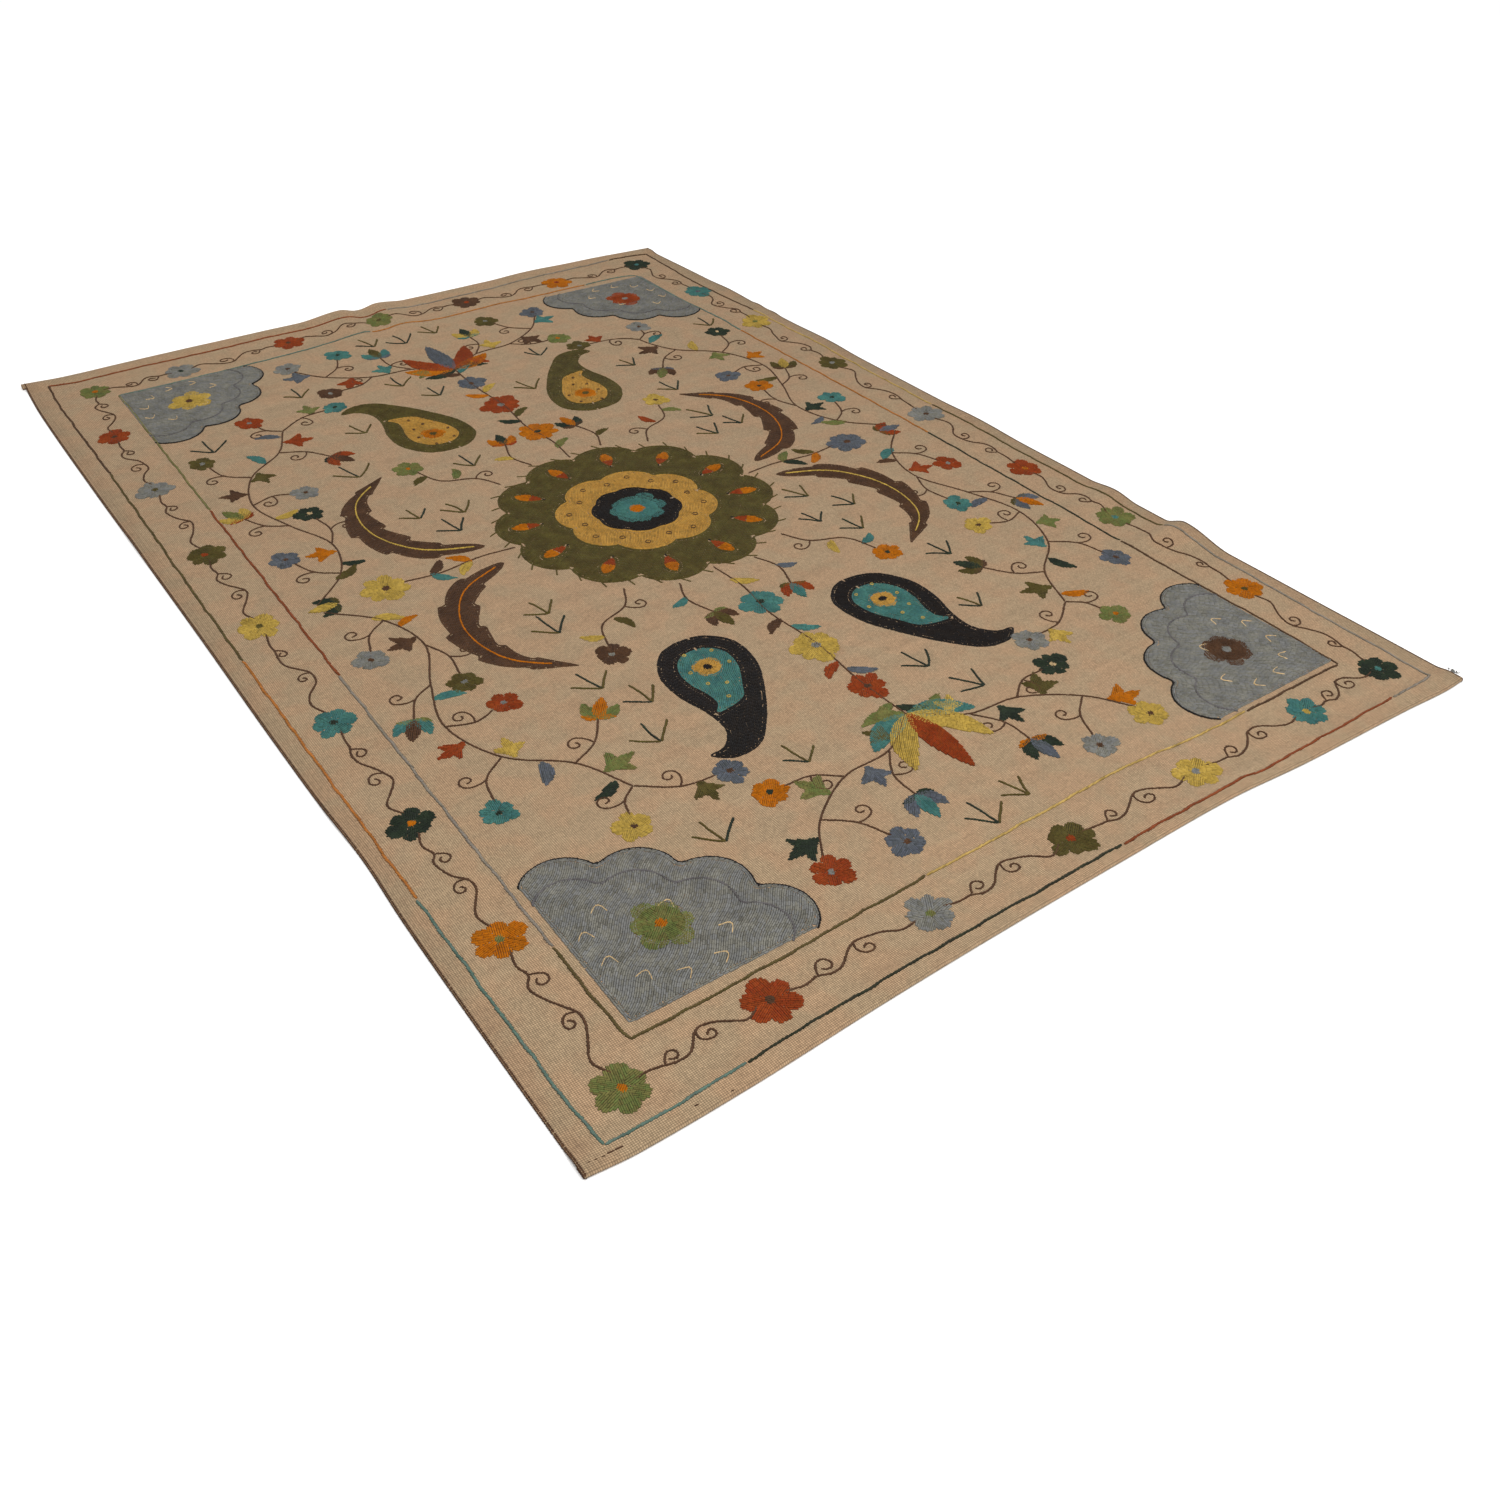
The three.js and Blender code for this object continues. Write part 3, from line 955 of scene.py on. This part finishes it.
# What lies on the short axis, once for each side
def sewSide(half):
    first, second = (("blue", "rust"), ("yellow", "darkGreen"))[half]
    stem([(196, 0), (250, 4), (310, -4), (360, 2)])
    blossom(first, "brown", (386, 0), 32, 7)
    bud(second, first, (452, 0), 0.0, 40, "olive")
    for k, (x, heading) in enumerate(((262, 0.8), (262, -0.8), (322, 2.3), (322, -2.3))):
        simpleLeaf(leafYarns[(k + 3 * half) % len(leafYarns)], (x, 0), heading, 38, 14, 0.1)


def sewField():
    work.update(x=field["x"], y=field["y"])
    sewMedallion()
    for quarter, (flipX, flipY) in enumerate(((1, 1), (-1, 1), (-1, -1), (1, -1))):
        work.update(flipX=flipX, flipY=flipY)
        sewQuarter(quarter)
    for half, flip in enumerate((1, -1)):
        work.update(flipX=1, flipY=flip)
        sewAxis(half)
        work.update(flipX=flip, flipY=1)
        sewSide(half)
    # Sprigs fill the bare places. They all grow one way, towards the far end.
    work.update(flipX=1, flipY=1)
    sewn = np.vstack([rows[:, 0:2] for part in stitches.values() for rows in part])
    gap, heading = field["sprigGap"], field["sprigHeading"]
    for row, y in enumerate(np.arange(-field["halfLength"] + 24, field["halfLength"] - 50, gap)):
        for x in np.arange(-field["halfWidth"] + 30 + row % 2 * gap / 2, field["halfWidth"] - 20, gap):
            foot = np.array([x, y]) + rng.uniform(-11, 11, 2)
            middle = polar(foot, heading, 24) + [work["x"], work["y"]]
            if np.hypot(*(sewn - middle).T).min() > field["sprigRoom"]:
                sprig(foot, heading + rng.normal(0, 0.12), rng.uniform(38, 50))
    work.update(x=0, y=0)


# Loose ends: hem stitches that show on the face near the nearest corner, and a tuft of fibre on the
# long edge near the right corner

looseEnds = {
    "hemStitches": [(-602, -926, 3, 1.1), (-596, -927, 3, 1.3), (-590, -928, 4, 1.4), (-585, -927.5, 8, 2.4),
                    (-578, -928, 9, 2.6), (-500, -929, 4.5, 2), (-466, -934, 3.5, 1.6)],
    "height": 0.9,
    "slope": -0.1,
    "tint": 1,
    "tuft": (610.5, -920),
    "tuftSpread": (0.8, 3.5),
    "fibres": 12,
    "fibreLength": 6,
    "fibreWidth": 0.9,
}


def sewLooseEnds():
    height, slope, tint = looseEnds["height"], looseEnds["slope"], looseEnds["tint"]
    for x, y, length, width in looseEnds["hemStitches"]:
        sew("brown", [(x, y)], [(x + length, y + slope * length)], width, height, tint=tint)
    fine = dict(curlStitch, width=looseEnds["fibreWidth"], height=height, slant=0.2)
    long = looseEnds["fibreLength"]
    for _ in range(looseEnds["fibres"]):
        foot = looseEnds["tuft"] + rng.normal(0, 1, 2) * looseEnds["tuftSpread"]
        middle = polar(foot, rng.uniform(-0.9, 1.2), long / 2)
        sewLine("slate", smoothCurve([foot, middle, polar(foot, rng.uniform(-0.4, 1.6), long)]), fine)


sewField()
sewLooseEnds()
print("field sewn:", sum(len(rows) for part in stitches.values() for rows in part), "stitches")


# Edge sewing: brown yarn wrapped over both long edges, round the hems as well

# The wraps' tint makes them darker than the brown stitches on the face: partly the overcast yarn, partly
# painted shade of the cloth's shaded side edge
wrap = {"pitch": 2.5, "width": 2.9, "thick": 1.0, "slant": 1.2, "tint": -0.9, "unevenness": 0.3,
        "margin": 2, "lowest": 0.05}
# The places of one wrap over the edge: out from the edge and up from the cloth's middle, the way its
# outer side faces, outwards and upwards, and its share of the width
wrapPath = [(-2.4, 1.1, 1, 1, 0.6), (-1.2, 1.45, 0.3, 1, 1), (0.35, 0.6875, 1, 0.1, 1),
            (0.45, -0.5625, 1, -0.2, 1), (-0.9, -1, 0.3, -0.2, 0.6)]
wrapStep = 1.4  # along the yarn from one of these places to the next


# The wraps of one long edge: points by wrap, and a tone for each wrap
def wrapsOn(side):
    y, z, turn = clothSteps.T
    far = distances(clothSteps[:, :2])
    at = np.arange(wrap["margin"], far[-1] - wrap["margin"], wrap["pitch"])
    at = at + rng.normal(0, wrap["unevenness"], len(at))
    ry, rz, rt = (np.interp(at, far, values) for values in (y, z, turn))
    px, py = placeInOutline(np.full(len(at), side * sideX), ry)
    middle = np.stack([px, py, rz + clothLift(px, py)], -1)
    tone = rng.normal(wrap["tint"], 1, len(at))
    outward = np.array([side, 0, 0])
    upward = np.stack([0 * rt, np.sin(rt), -np.cos(rt)], -1)
    onward = np.stack([0 * rt, np.cos(rt), np.sin(rt)], -1)
    thick, points = wrap["thick"] / 2, []
    for k, (out, up, faceOut, faceUp, share) in enumerate(wrapPath):
        drift = (k / (len(wrapPath) - 1) - 0.5) * wrap["slant"]
        spot = middle + outward * out + upward * up + onward * drift
        away = outward * faceOut + upward * faceUp
        away = away / np.linalg.norm(away, axis=1)[:, None]
        wide = wrap["width"] / 2 * share
        points += [spot + away * thick, spot + onward * wide, spot - away * thick, spot - onward * wide]
    return np.stack(points, 1), tone


def edgeWraps():
    sides = [wrapsOn(side) for side in (-1, 1)]
    flat = np.concatenate([points for points, _ in sides]).reshape(-1, 3)
    flat[:, 2] = np.maximum(flat[:, 2], wrap["lowest"])
    tone = np.concatenate([tone for _, tone in sides])
    steps, count = len(wrapPath) * 4, len(tone)
    faces = []
    for k in range(len(wrapPath) - 1):
        for j in range(4):
            a, b = k * 4 + j, k * 4 + (j + 1) % 4
            faces.append([a, b, b + 4, a + 4])
    faces += [[3, 2, 1, 0], [steps - 4, steps - 3, steps - 2, steps - 1]]
    first = (np.arange(count) * steps)[:, None, None]
    faces = (np.array(faces)[None] + first).reshape(-1, 4)
    across = np.tile([0.5, 1, 0.5, 0], count * len(wrapPath))
    along = np.tile(np.repeat(np.arange(len(wrapPath)) * wrapStep * mm, 4), count)
    # Painted shade: the side of each wrap that lies against the cloth gets a low depth, so it is darkened
    depth = np.tile([1, 0.6, 0.2, 0.6], count * len(wrapPath))
    looks = {"tone": np.repeat(tone, steps), "depth": depth, "fluff": np.zeros(len(flat))}
    return flat, faces, np.stack([along, across], -1), looks


# Meshes of the stitches: each is a low grain of eight points that lies on the cloth

grainRoot = -0.18  # its rim is sunk a little into the cloth's face
grainFaces = [np.array([[0, 3, 2], [0, 2, 1], [0, 1, 3], [6, 7, 5], [5, 7, 4], [4, 7, 6]]),
              np.array([[3, 6, 5, 2], [2, 5, 4, 1], [1, 4, 6, 3]])]
# Share of the length, of the half width to the left, and of the height, with the depth for painted shade
grainPoints = [(0, 0, -1, 0.4), (0.14, 0.95, -1, 0), (0.2, 0, 0.9, 1), (0.14, -0.95, -1, 0),
               (0.86, 0.95, -1, 0), (0.8, 0, 1, 1), (0.86, -0.95, -1, 0), (1, 0, -1, 0.4)]


def stitchMesh(rows):
    start, end = rows[:, 0:2], rows[:, 2:4]
    way = end - start
    length = np.maximum(np.hypot(*way.T), 0.3)[:, None]
    side = leftOf(way) / length
    width, height, lift, tone = (rows[:, k:k + 1] for k in (4, 5, 6, 7))
    spots, ups, maps, depths = [], [], [], []
    for share, left, up, depth in grainPoints:
        spots.append(start + way * share + side * width / 2 * left)
        ups.append(np.full((len(rows), 1), grainRoot) if up < 0 else height * up + lift)
        maps.append(np.hstack([length * share * mm, 0 * length + 0.5 + left / 2]))
        depths.append(np.full((len(rows), 1), depth))
    spots, ups = np.stack(spots, 1).reshape(-1, 2), np.stack(ups, 1).reshape(-1)
    points = np.column_stack([spots, faceHeight(spots[:, 0], spots[:, 1]) + ups])
    points[:, :2] -= rugMiddle
    first = (np.arange(len(rows)) * 8)[:, None, None]
    # Undersides come first, so that the flat map of the rug shows the faces that look up.
    tris = grainFaces[0][None] + first
    quads = grainFaces[1][None] + first
    faces = [
        tris[:, [2, 5]].reshape(-1, 3), quads[:, 2:].reshape(-1, 4),
        tris[:, [0, 1, 3, 4]].reshape(-1, 3), quads[:, :2].reshape(-1, 4),
    ]
    run = np.stack(maps, 1).reshape(-1, 2)
    looks = {"tone": np.repeat(tone[:, 0], 8), "depth": np.stack(depths, 1).reshape(-1),
             "fluff": np.repeat(rows[:, 8], 8)}
    return points, faces, run, looks


yarns = {  # slot in the record, colour in sRGB under the photo's light, and a second tone of the dye
    "brown": {"slot": "brown_yarn", "colour": (83, 58, 40), "second": (67, 47, 34)},
    "black": {"slot": "black_yarn", "colour": (34, 29, 26), "second": (27, 25, 25)},
    "olive": {"slot": "olive_yarn", "colour": (83, 75, 37), "second": (69, 59, 29)},
    "lightGreen": {"slot": "light_green_yarn", "colour": (110, 106, 60), "second": (86, 94, 50)},
    "darkGreen": {"slot": "dark_green_yarn", "colour": (44, 54, 40), "second": (33, 39, 32)},
    "turquoise": {"slot": "turquoise_yarn", "colour": (68, 114, 106), "second": (54, 94, 92)},
    "slate": {"slot": "slate_yarn", "colour": (121, 119, 110), "second": (104, 104, 102)},
    "blue": {"slot": "blue_yarn", "colour": (84, 88, 92), "second": (76, 80, 88)},
    "rust": {"slot": "rust_yarn", "colour": (134, 60, 24), "second": (118, 47, 18)},
    "orange": {"slot": "orange_yarn", "colour": (167, 97, 12), "second": (152, 84, 6)},
    "gold": {"slot": "gold_yarn", "colour": (172, 132, 62), "second": (158, 118, 52)},
    "yellow": {"slot": "yellow_yarn", "colour": (170, 143, 68), "second": (156, 130, 58)},
    "cream": {"slot": "gold_yarn", "colour": (186, 160, 120), "second": (174, 148, 108)},
}


# Materials

# A socket with arithmetic: every expression adds its Math nodes
class Wire:
    def __init__(self, tree, socket=None):
        self.tree = tree
        self.socket = socket

    def node(self, kind, settings=None, inputs=None, output=0):
        made = self.tree.nodes.new(kind)
        for key, value in (settings or {}).items():
            setattr(made, key, value)
        for key, value in (inputs or {}).items():
            if isinstance(value, Wire):
                self.tree.links.new(value.socket, made.inputs[key])
            else:
                made.inputs[key].default_value = value
        return Wire(self.tree, made.outputs[output])

    def math(self, operation, first=None, second=0.5):
        first = self if first is None else first
        return self.node("ShaderNodeMath", {"operation": operation}, {0: first, 1: second})

    def __add__(self, other):
        return self.math("ADD", self, other)

    def __radd__(self, other):
        return self.math("ADD", other, self)

    def __sub__(self, other):
        return self.math("SUBTRACT", self, other)

    def __rsub__(self, other):
        return self.math("SUBTRACT", other, self)

    def __mul__(self, other):
        return self.math("MULTIPLY", self, other)

    def sine(self):
        return self.math("SINE")

    def size(self):
        return self.math("ABSOLUTE")

    def power(self, exponent):
        return self.math("POWER", self, exponent)

    def between(self, low, high):  # 0 below low, 1 above high, smooth in between
        smooth = {"interpolation_type": "SMOOTHSTEP"}
        return self.node("ShaderNodeMapRange", smooth, {0: self, 1: low, 2: high})

    def stretched(self, x, y, z):
        return self.node("ShaderNodeVectorMath", {"operation": "MULTIPLY"}, {0: self, 1: (x, y, z)})

    def noise(self, scale, detail=2.0, roughness=0.5):
        return self.node("ShaderNodeTexNoise", {}, {"Vector": self, "Scale": scale, "Detail": detail,
                                                    "Roughness": roughness})

    def axis(self, index):
        return self.node("ShaderNodeSeparateXYZ", {}, {0: self}, index)

    def shaded(self, amount):  # a colour made lighter or darker
        return self.node("ShaderNodeVectorMath", {"operation": "SCALE"}, {0: self, 3: amount})

    def bump(self, height, distance):
        return self.node("ShaderNodeBump", {}, {"Strength": 0.8, "Distance": distance, "Height": height})

    def blend(self, first, second, factor):
        return self.node("ShaderNodeMix", {"data_type": "RGBA"}, {0: factor, 6: first, 7: second}, 2)

    def mixed(self, other, factor):  # towards another colour
        return self.blend(self, other, factor)

    def place(self):  # in the object's own space
        return self.node("ShaderNodeTexCoord", {}, {}, 3)

    def map(self, name):
        return self.node("ShaderNodeUVMap", {"uv_map": name})

    def value(self, name):  # an attribute of the mesh
        return self.node("ShaderNodeAttribute", {"attribute_name": name}, {}, 2)

    def feed(self, shader, name):
        self.tree.links.new(self.socket, shader.inputs[name])


photoLight = 1.3  # brightness of the scene's light against a colour in the photo


def linear(colour):
    parts = [c / 255 for c in colour]
    parts = [c / 12.92 if c <= 0.04045 else ((c + 0.055) / 1.055) ** 2.4 for c in parts]
    return tuple(c / photoLight for c in parts) + (1,)


def newMaterial(name):
    material = bpy.data.materials.new(name)
    material.use_nodes = True
    tree = material.node_tree
    tree.nodes.clear()
    shader = tree.nodes.new("ShaderNodeBsdfPrincipled")
    output = tree.nodes.new("ShaderNodeOutputMaterial")
    tree.links.new(shader.outputs[0], output.inputs[0])
    return material, shader, Wire(tree)


def setSurface(shader, settings):
    for name, value in settings.items():
        shader.inputs[name].default_value = value


clothLook = {
    "warm": (173, 143, 112), "cool": (168, 144, 114),  # two tones of the undyed wool
    "dark": (140, 114, 90),
    "threadPitch": (0.0022, 0.0021),  # metres between threads, across and along
    "sway": 2.6,  # how far the threads stray from straight lines, in radians of their pitch
    "paintedGapShade": 0.78,
    "gapLevel": 0.815,
    "slub": 0.06,
    "grain": 0.3,
    "float": 0.22,  # unevenness from one float of yarn to the next
    "streak": 0.11,
    "selvedge": 0.1,
    "selvedgeBand": (0.578, 0.604),  # metres from the long axis, with lengthwise ribs in it
    "ribPitch": 0.0052,
    "mottle": 0.1,
    "darkShare": 0.35,
    "speckShade": 0.22,
    "bump": 0.0005,
}


def clothMaterial(look):
    material, shader, start = newMaterial("undyed wool weave")
    threads, place = start.map("threads"), start.place()
    wander = threads.noise(42, 2) - 0.5
    sway = threads.stretched(1, 1.3, 1).noise(38, 2) - 0.5
    across = threads.axis(0) * (math.pi / look["threadPitch"][0]) + wander * look["sway"]
    along = threads.axis(1) * (math.pi / look["threadPitch"][1]) + sway * look["sway"]
    crossing = (across.sine() * along.sine()).size().power(0.55)
    step = start.node("ShaderNodeCombineXYZ", {}, {0: (across * (1 / math.pi)).math("FLOOR"),
                                                   1: (along * (1 / math.pi)).math("FLOOR")})
    yarnFloat = start.node("ShaderNodeTexWhiteNoise", {"noise_dimensions": "3D"}, {0: step})
    fibre = threads.noise(2600, 2, 0.6)
    # Weft streaks run across the rug, faint warp streaks along it
    thin, wide = threads.stretched(5, 420, 1).noise(1, 3, 0.6), threads.stretched(2.2, 70, 1).noise(1, 2)
    streak = (thin + wide) * 0.6
    warp = threads.stretched(360, 4, 1).noise(1, 2)
    mottle = place.noise(26, 4, 0.6)
    slub = threads.stretched(60, 330, 1).noise(1, 2, 0.6) + threads.stretched(310, 70, 1).noise(1, 2, 0.6)
    grain = place.noise(460, 2, 0.7)
    patch = place.noise(24, 2)
    edge = threads.axis(0).size().between(*look["selvedgeBand"])
    ribs = (threads.axis(0) * (2 * math.pi / look["ribPitch"])).sine() * edge
    tone = 1 + (streak - 0.6) * look["streak"] * 3 + (mottle - 0.5) * look["mottle"] * 2 + (warp - 0.5) * 0.12
    uneven = (slub - 1) * look["slub"] * 2 + (grain - 0.5) * look["grain"] * 2
    uneven = uneven + (yarnFloat - 0.5) * look["float"]
    # The ribs' colour follows their relief as painted shade, darker in their grooves
    tone = (tone + uneven) * (1 + ribs * 0.04) * (1 - edge * look["selvedge"])
    # Painted shade: darker in the gaps between crossing threads, lighter on the crossings
    tone = tone * (1 + (crossing - look["gapLevel"]) * look["paintedGapShade"])
    speck = 1 - place.noise(310, 1).between(0.74, 0.8) * look["speckShade"]
    base = start.blend(linear(look["warm"]), linear(look["cool"]), patch.between(0.38, 0.62))
    darker = place.noise(60, 3, 0.65).between(0.55, 0.85) * look["darkShare"]
    base = base.mixed(linear(look["dark"]), darker)
    base.shaded(tone * speck * (0.94 + fibre * 0.12)).feed(shader, "Base Color")
    (0.86 + fibre * 0.12).feed(shader, "Roughness")
    height = crossing * 0.8 + fibre * 0.25 + ribs * 0.7 + mottle * 0.8
    start.bump(height, look["bump"]).feed(shader, "Normal")
    setSurface(shader, {"Specular IOR Level": 0.1, "Sheen Weight": 0.03, "Sheen Roughness": 0.5})
    return material


yarnLook = {"stitchTone": 0.17, "dyeTone": 0.26, "dyeSpread": 0.16, "paintedDepthShade": 0.4, "speck": 0.3,
            "twistPitch": 0.0019, "bump": 0.00022, "ground": (150, 125, 96), "fluffShare": 0.28}


# The ground's hue at a dye's own brightness
def fluffColour(dye, ground):
    weights = np.array([0.21, 0.72, 0.07])  # of red, green and blue in brightness
    dye, ground = np.array(linear(dye)[:3]), np.array(linear(ground)[:3])
    return (*(ground * (dye @ weights) / (ground @ weights)), 1)


def yarnMaterial(name, dyes, look):
    material, shader, start = newMaterial(name)
    run, place = start.map("yarnRun"), start.place()
    tone, depth, fluff = start.value("tone"), start.value("depth"), start.value("fluff")
    dye = place.noise(34, 3, 0.6)
    twist = (run.axis(0) * (2 * math.pi / look["twistPitch"]) + run.axis(1) * 5).sine()
    fibre = place.noise(1800, 2, 0.6)
    speck = place.noise(720, 2, 0.6) - 0.5
    shade = 1 + tone * look["stitchTone"] + (dye - 0.5) * look["dyeTone"] * 2 + speck * look["speck"] * 2
    # Painted shade: each stitch is darker towards its rim and tips, where it meets the cloth and its
    # neighbours, and in the grooves of its twist
    shade = shade * (1 + (depth - 0.6) * look["paintedDepthShade"]) * (1 + twist * 0.04)
    second = (place.noise(60, 2) + tone * look["dyeSpread"]).between(0.3, 0.7)
    base = start.blend(linear(dyes["colour"]), linear(dyes["second"]), second)
    base = base.mixed(fluffColour(dyes["colour"], look["ground"]), fluff * look["fluffShare"])
    base.shaded(shade).feed(shader, "Base Color")
    (0.8 + fibre * 0.15).feed(shader, "Roughness")
    height = twist * 0.5 + fibre * 0.7
    start.bump(height, look["bump"]).feed(shader, "Normal")
    setSurface(shader, {"Specular IOR Level": 0.06, "Sheen Weight": 0.02, "Sheen Roughness": 0.5})
    return material


clothPiece.data.materials.append(clothMaterial(clothLook))
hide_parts("ground_cloth")
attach(clothPiece, "root")


def makeYarnPieces():
    pieces = []
    for yarn, parts in sorted(stitches.items()):
        dyes = yarns[yarn]
        points, faces, run, looks = stitchMesh(np.vstack(parts))
        if yarn == "brown":
            wraps, wrapFaces, wrapRun, wrapLooks = edgeWraps()
            wraps[:, :2] -= rugMiddle
            faces = [wrapFaces + len(points)] + faces
            points, run = np.vstack([points, wraps]), np.vstack([run, wrapRun])
            looks = {key: np.append(looks[key], wrapLooks[key]) for key in looks}
        maps = {"OFBake": planMap(points), "yarnRun": run}
        piece = makePiece(f"{yarn}_embroidery", points, faces, maps, looks)
        piece.data.materials.append(yarnMaterial(f"{yarn} wool yarn", dyes, yarnLook))
        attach(piece, "root")
        pieces.append(piece)
        print(piece.name, len(points) // 8, "stitches or so")
    return pieces


embroidery = makeYarnPieces()


# Room: pale floor, soft studio light, camera

room = {
    "floorSize": 14,
    "floorColour": (0.79, 0.79, 0.79, 1),
    "floorSecond": (0.8, 0.795, 0.79, 1),
    # Painted light: the floor glows, more the farther it lies from glowMiddle, so that it stays white where
    # the lamps fall off
    "floorGlow": 0.32,  # keeps the floor white far from the light
    "glowMiddle": (-0.1, -0.9, 0),
    "glowFrom": (0.6, 2.7),
    "worldColour": (1, 0.99, 0.98, 1),
    "world": 0.85,
    "softbox": {"size": 1.8, "power": 70, "place": (-0.1, -1.65, 2.4), "aim": (0, -0.75, 0),
                "colour": (1, 1, 1)},
    "farLight": {"size": 0.9, "power": 4.5, "place": (0, 1.4, 1.0), "aim": (0, 0.85, 0),
                 "colour": (1, 0.93, 0.82)},
}


def makeFloor():
    half = room["floorSize"] / 2
    mesh = bpy.data.meshes.new("floor")
    corners = [(-half, -half, 0), (half, -half, 0), (half, half, 0), (-half, half, 0)]
    mesh.from_pydata(corners, [], [(0, 1, 2, 3)])
    material, shader, start = newMaterial("pale floor")
    place = start.place()
    start.blend(room["floorColour"], room["floorSecond"], place.noise(1.5, 2)).feed(shader, "Base Color")
    lit = {0: place, 1: room["glowMiddle"]}
    glow = start.node("ShaderNodeVectorMath", {"operation": "DISTANCE"}, lit, 1).between(*room["glowFrom"])
    start.node("ShaderNodeCombineColor", {}, {0: glow, 1: glow, 2: glow}).feed(shader, "Emission Color")
    setSurface(shader, {"Roughness": 0.85, "Specular IOR Level": 0.1, "Emission Strength": room["floorGlow"]})
    mesh.materials.append(material)
    placed("floor", mesh)


def unit(vector):
    return vector / np.linalg.norm(vector)


# A matrix for a thing at a place, from its three axes
def standing(place, right, up, back):
    turn = Matrix([list(column) for column in zip(right, up, back)]).to_4x4()
    turn.translation = place
    return turn


def aimed(place, target):
    away = unit(np.array(place, float) - np.array(target, float))
    right = unit(np.cross((0, 0, 1), away))
    return standing(place, right, np.cross(away, right), away)


def softLight(name, look):
    light = bpy.data.lights.new(name, "AREA")
    light.shape = "SQUARE"
    light.size = look["size"]
    light.energy = look["power"]
    light.color = look["colour"]
    placed(name, light).matrix_world = aimed(look["place"], look["aim"])


# The camera, solved from the rug's four corners as the photograph shows them: its place over the
# rug in millimetres, its axes, and the lens for a 36 mm sensor
view = {
    "place": (-884.4, -1541.0, 961.8),
    "right": (0.8172, -0.5763, 0.0089),
    "down": (-0.3523, -0.5116, -0.7837),
    "lens": 32.95,
}


def makeCamera():
    right = unit(np.array(view["right"]))
    up = -np.array(view["down"])
    up = unit(up - right * (up @ right))
    data = bpy.data.cameras.new("camera")
    data.lens = view["lens"]
    data.sensor_width = 36
    data.clip_end = 50
    camera = placed("camera", data)
    place = np.array(view["place"]) - [*rugMiddle, 0]
    camera.matrix_world = standing(place * mm, right, up, np.cross(right, up))
    bpy.context.scene.camera = camera


makeFloor()
for lamp in ("softbox", "farLight"):
    softLight(lamp, room[lamp])
world = bpy.data.worlds.new("studio")
world.use_nodes = True
background = world.node_tree.nodes["Background"]
background.inputs[0].default_value = room["worldColour"]
background.inputs[1].default_value = room["world"]
bpy.context.scene.world = world
bpy.context.scene.view_settings.view_transform = "Standard"
makeCamera()
print("room ready")
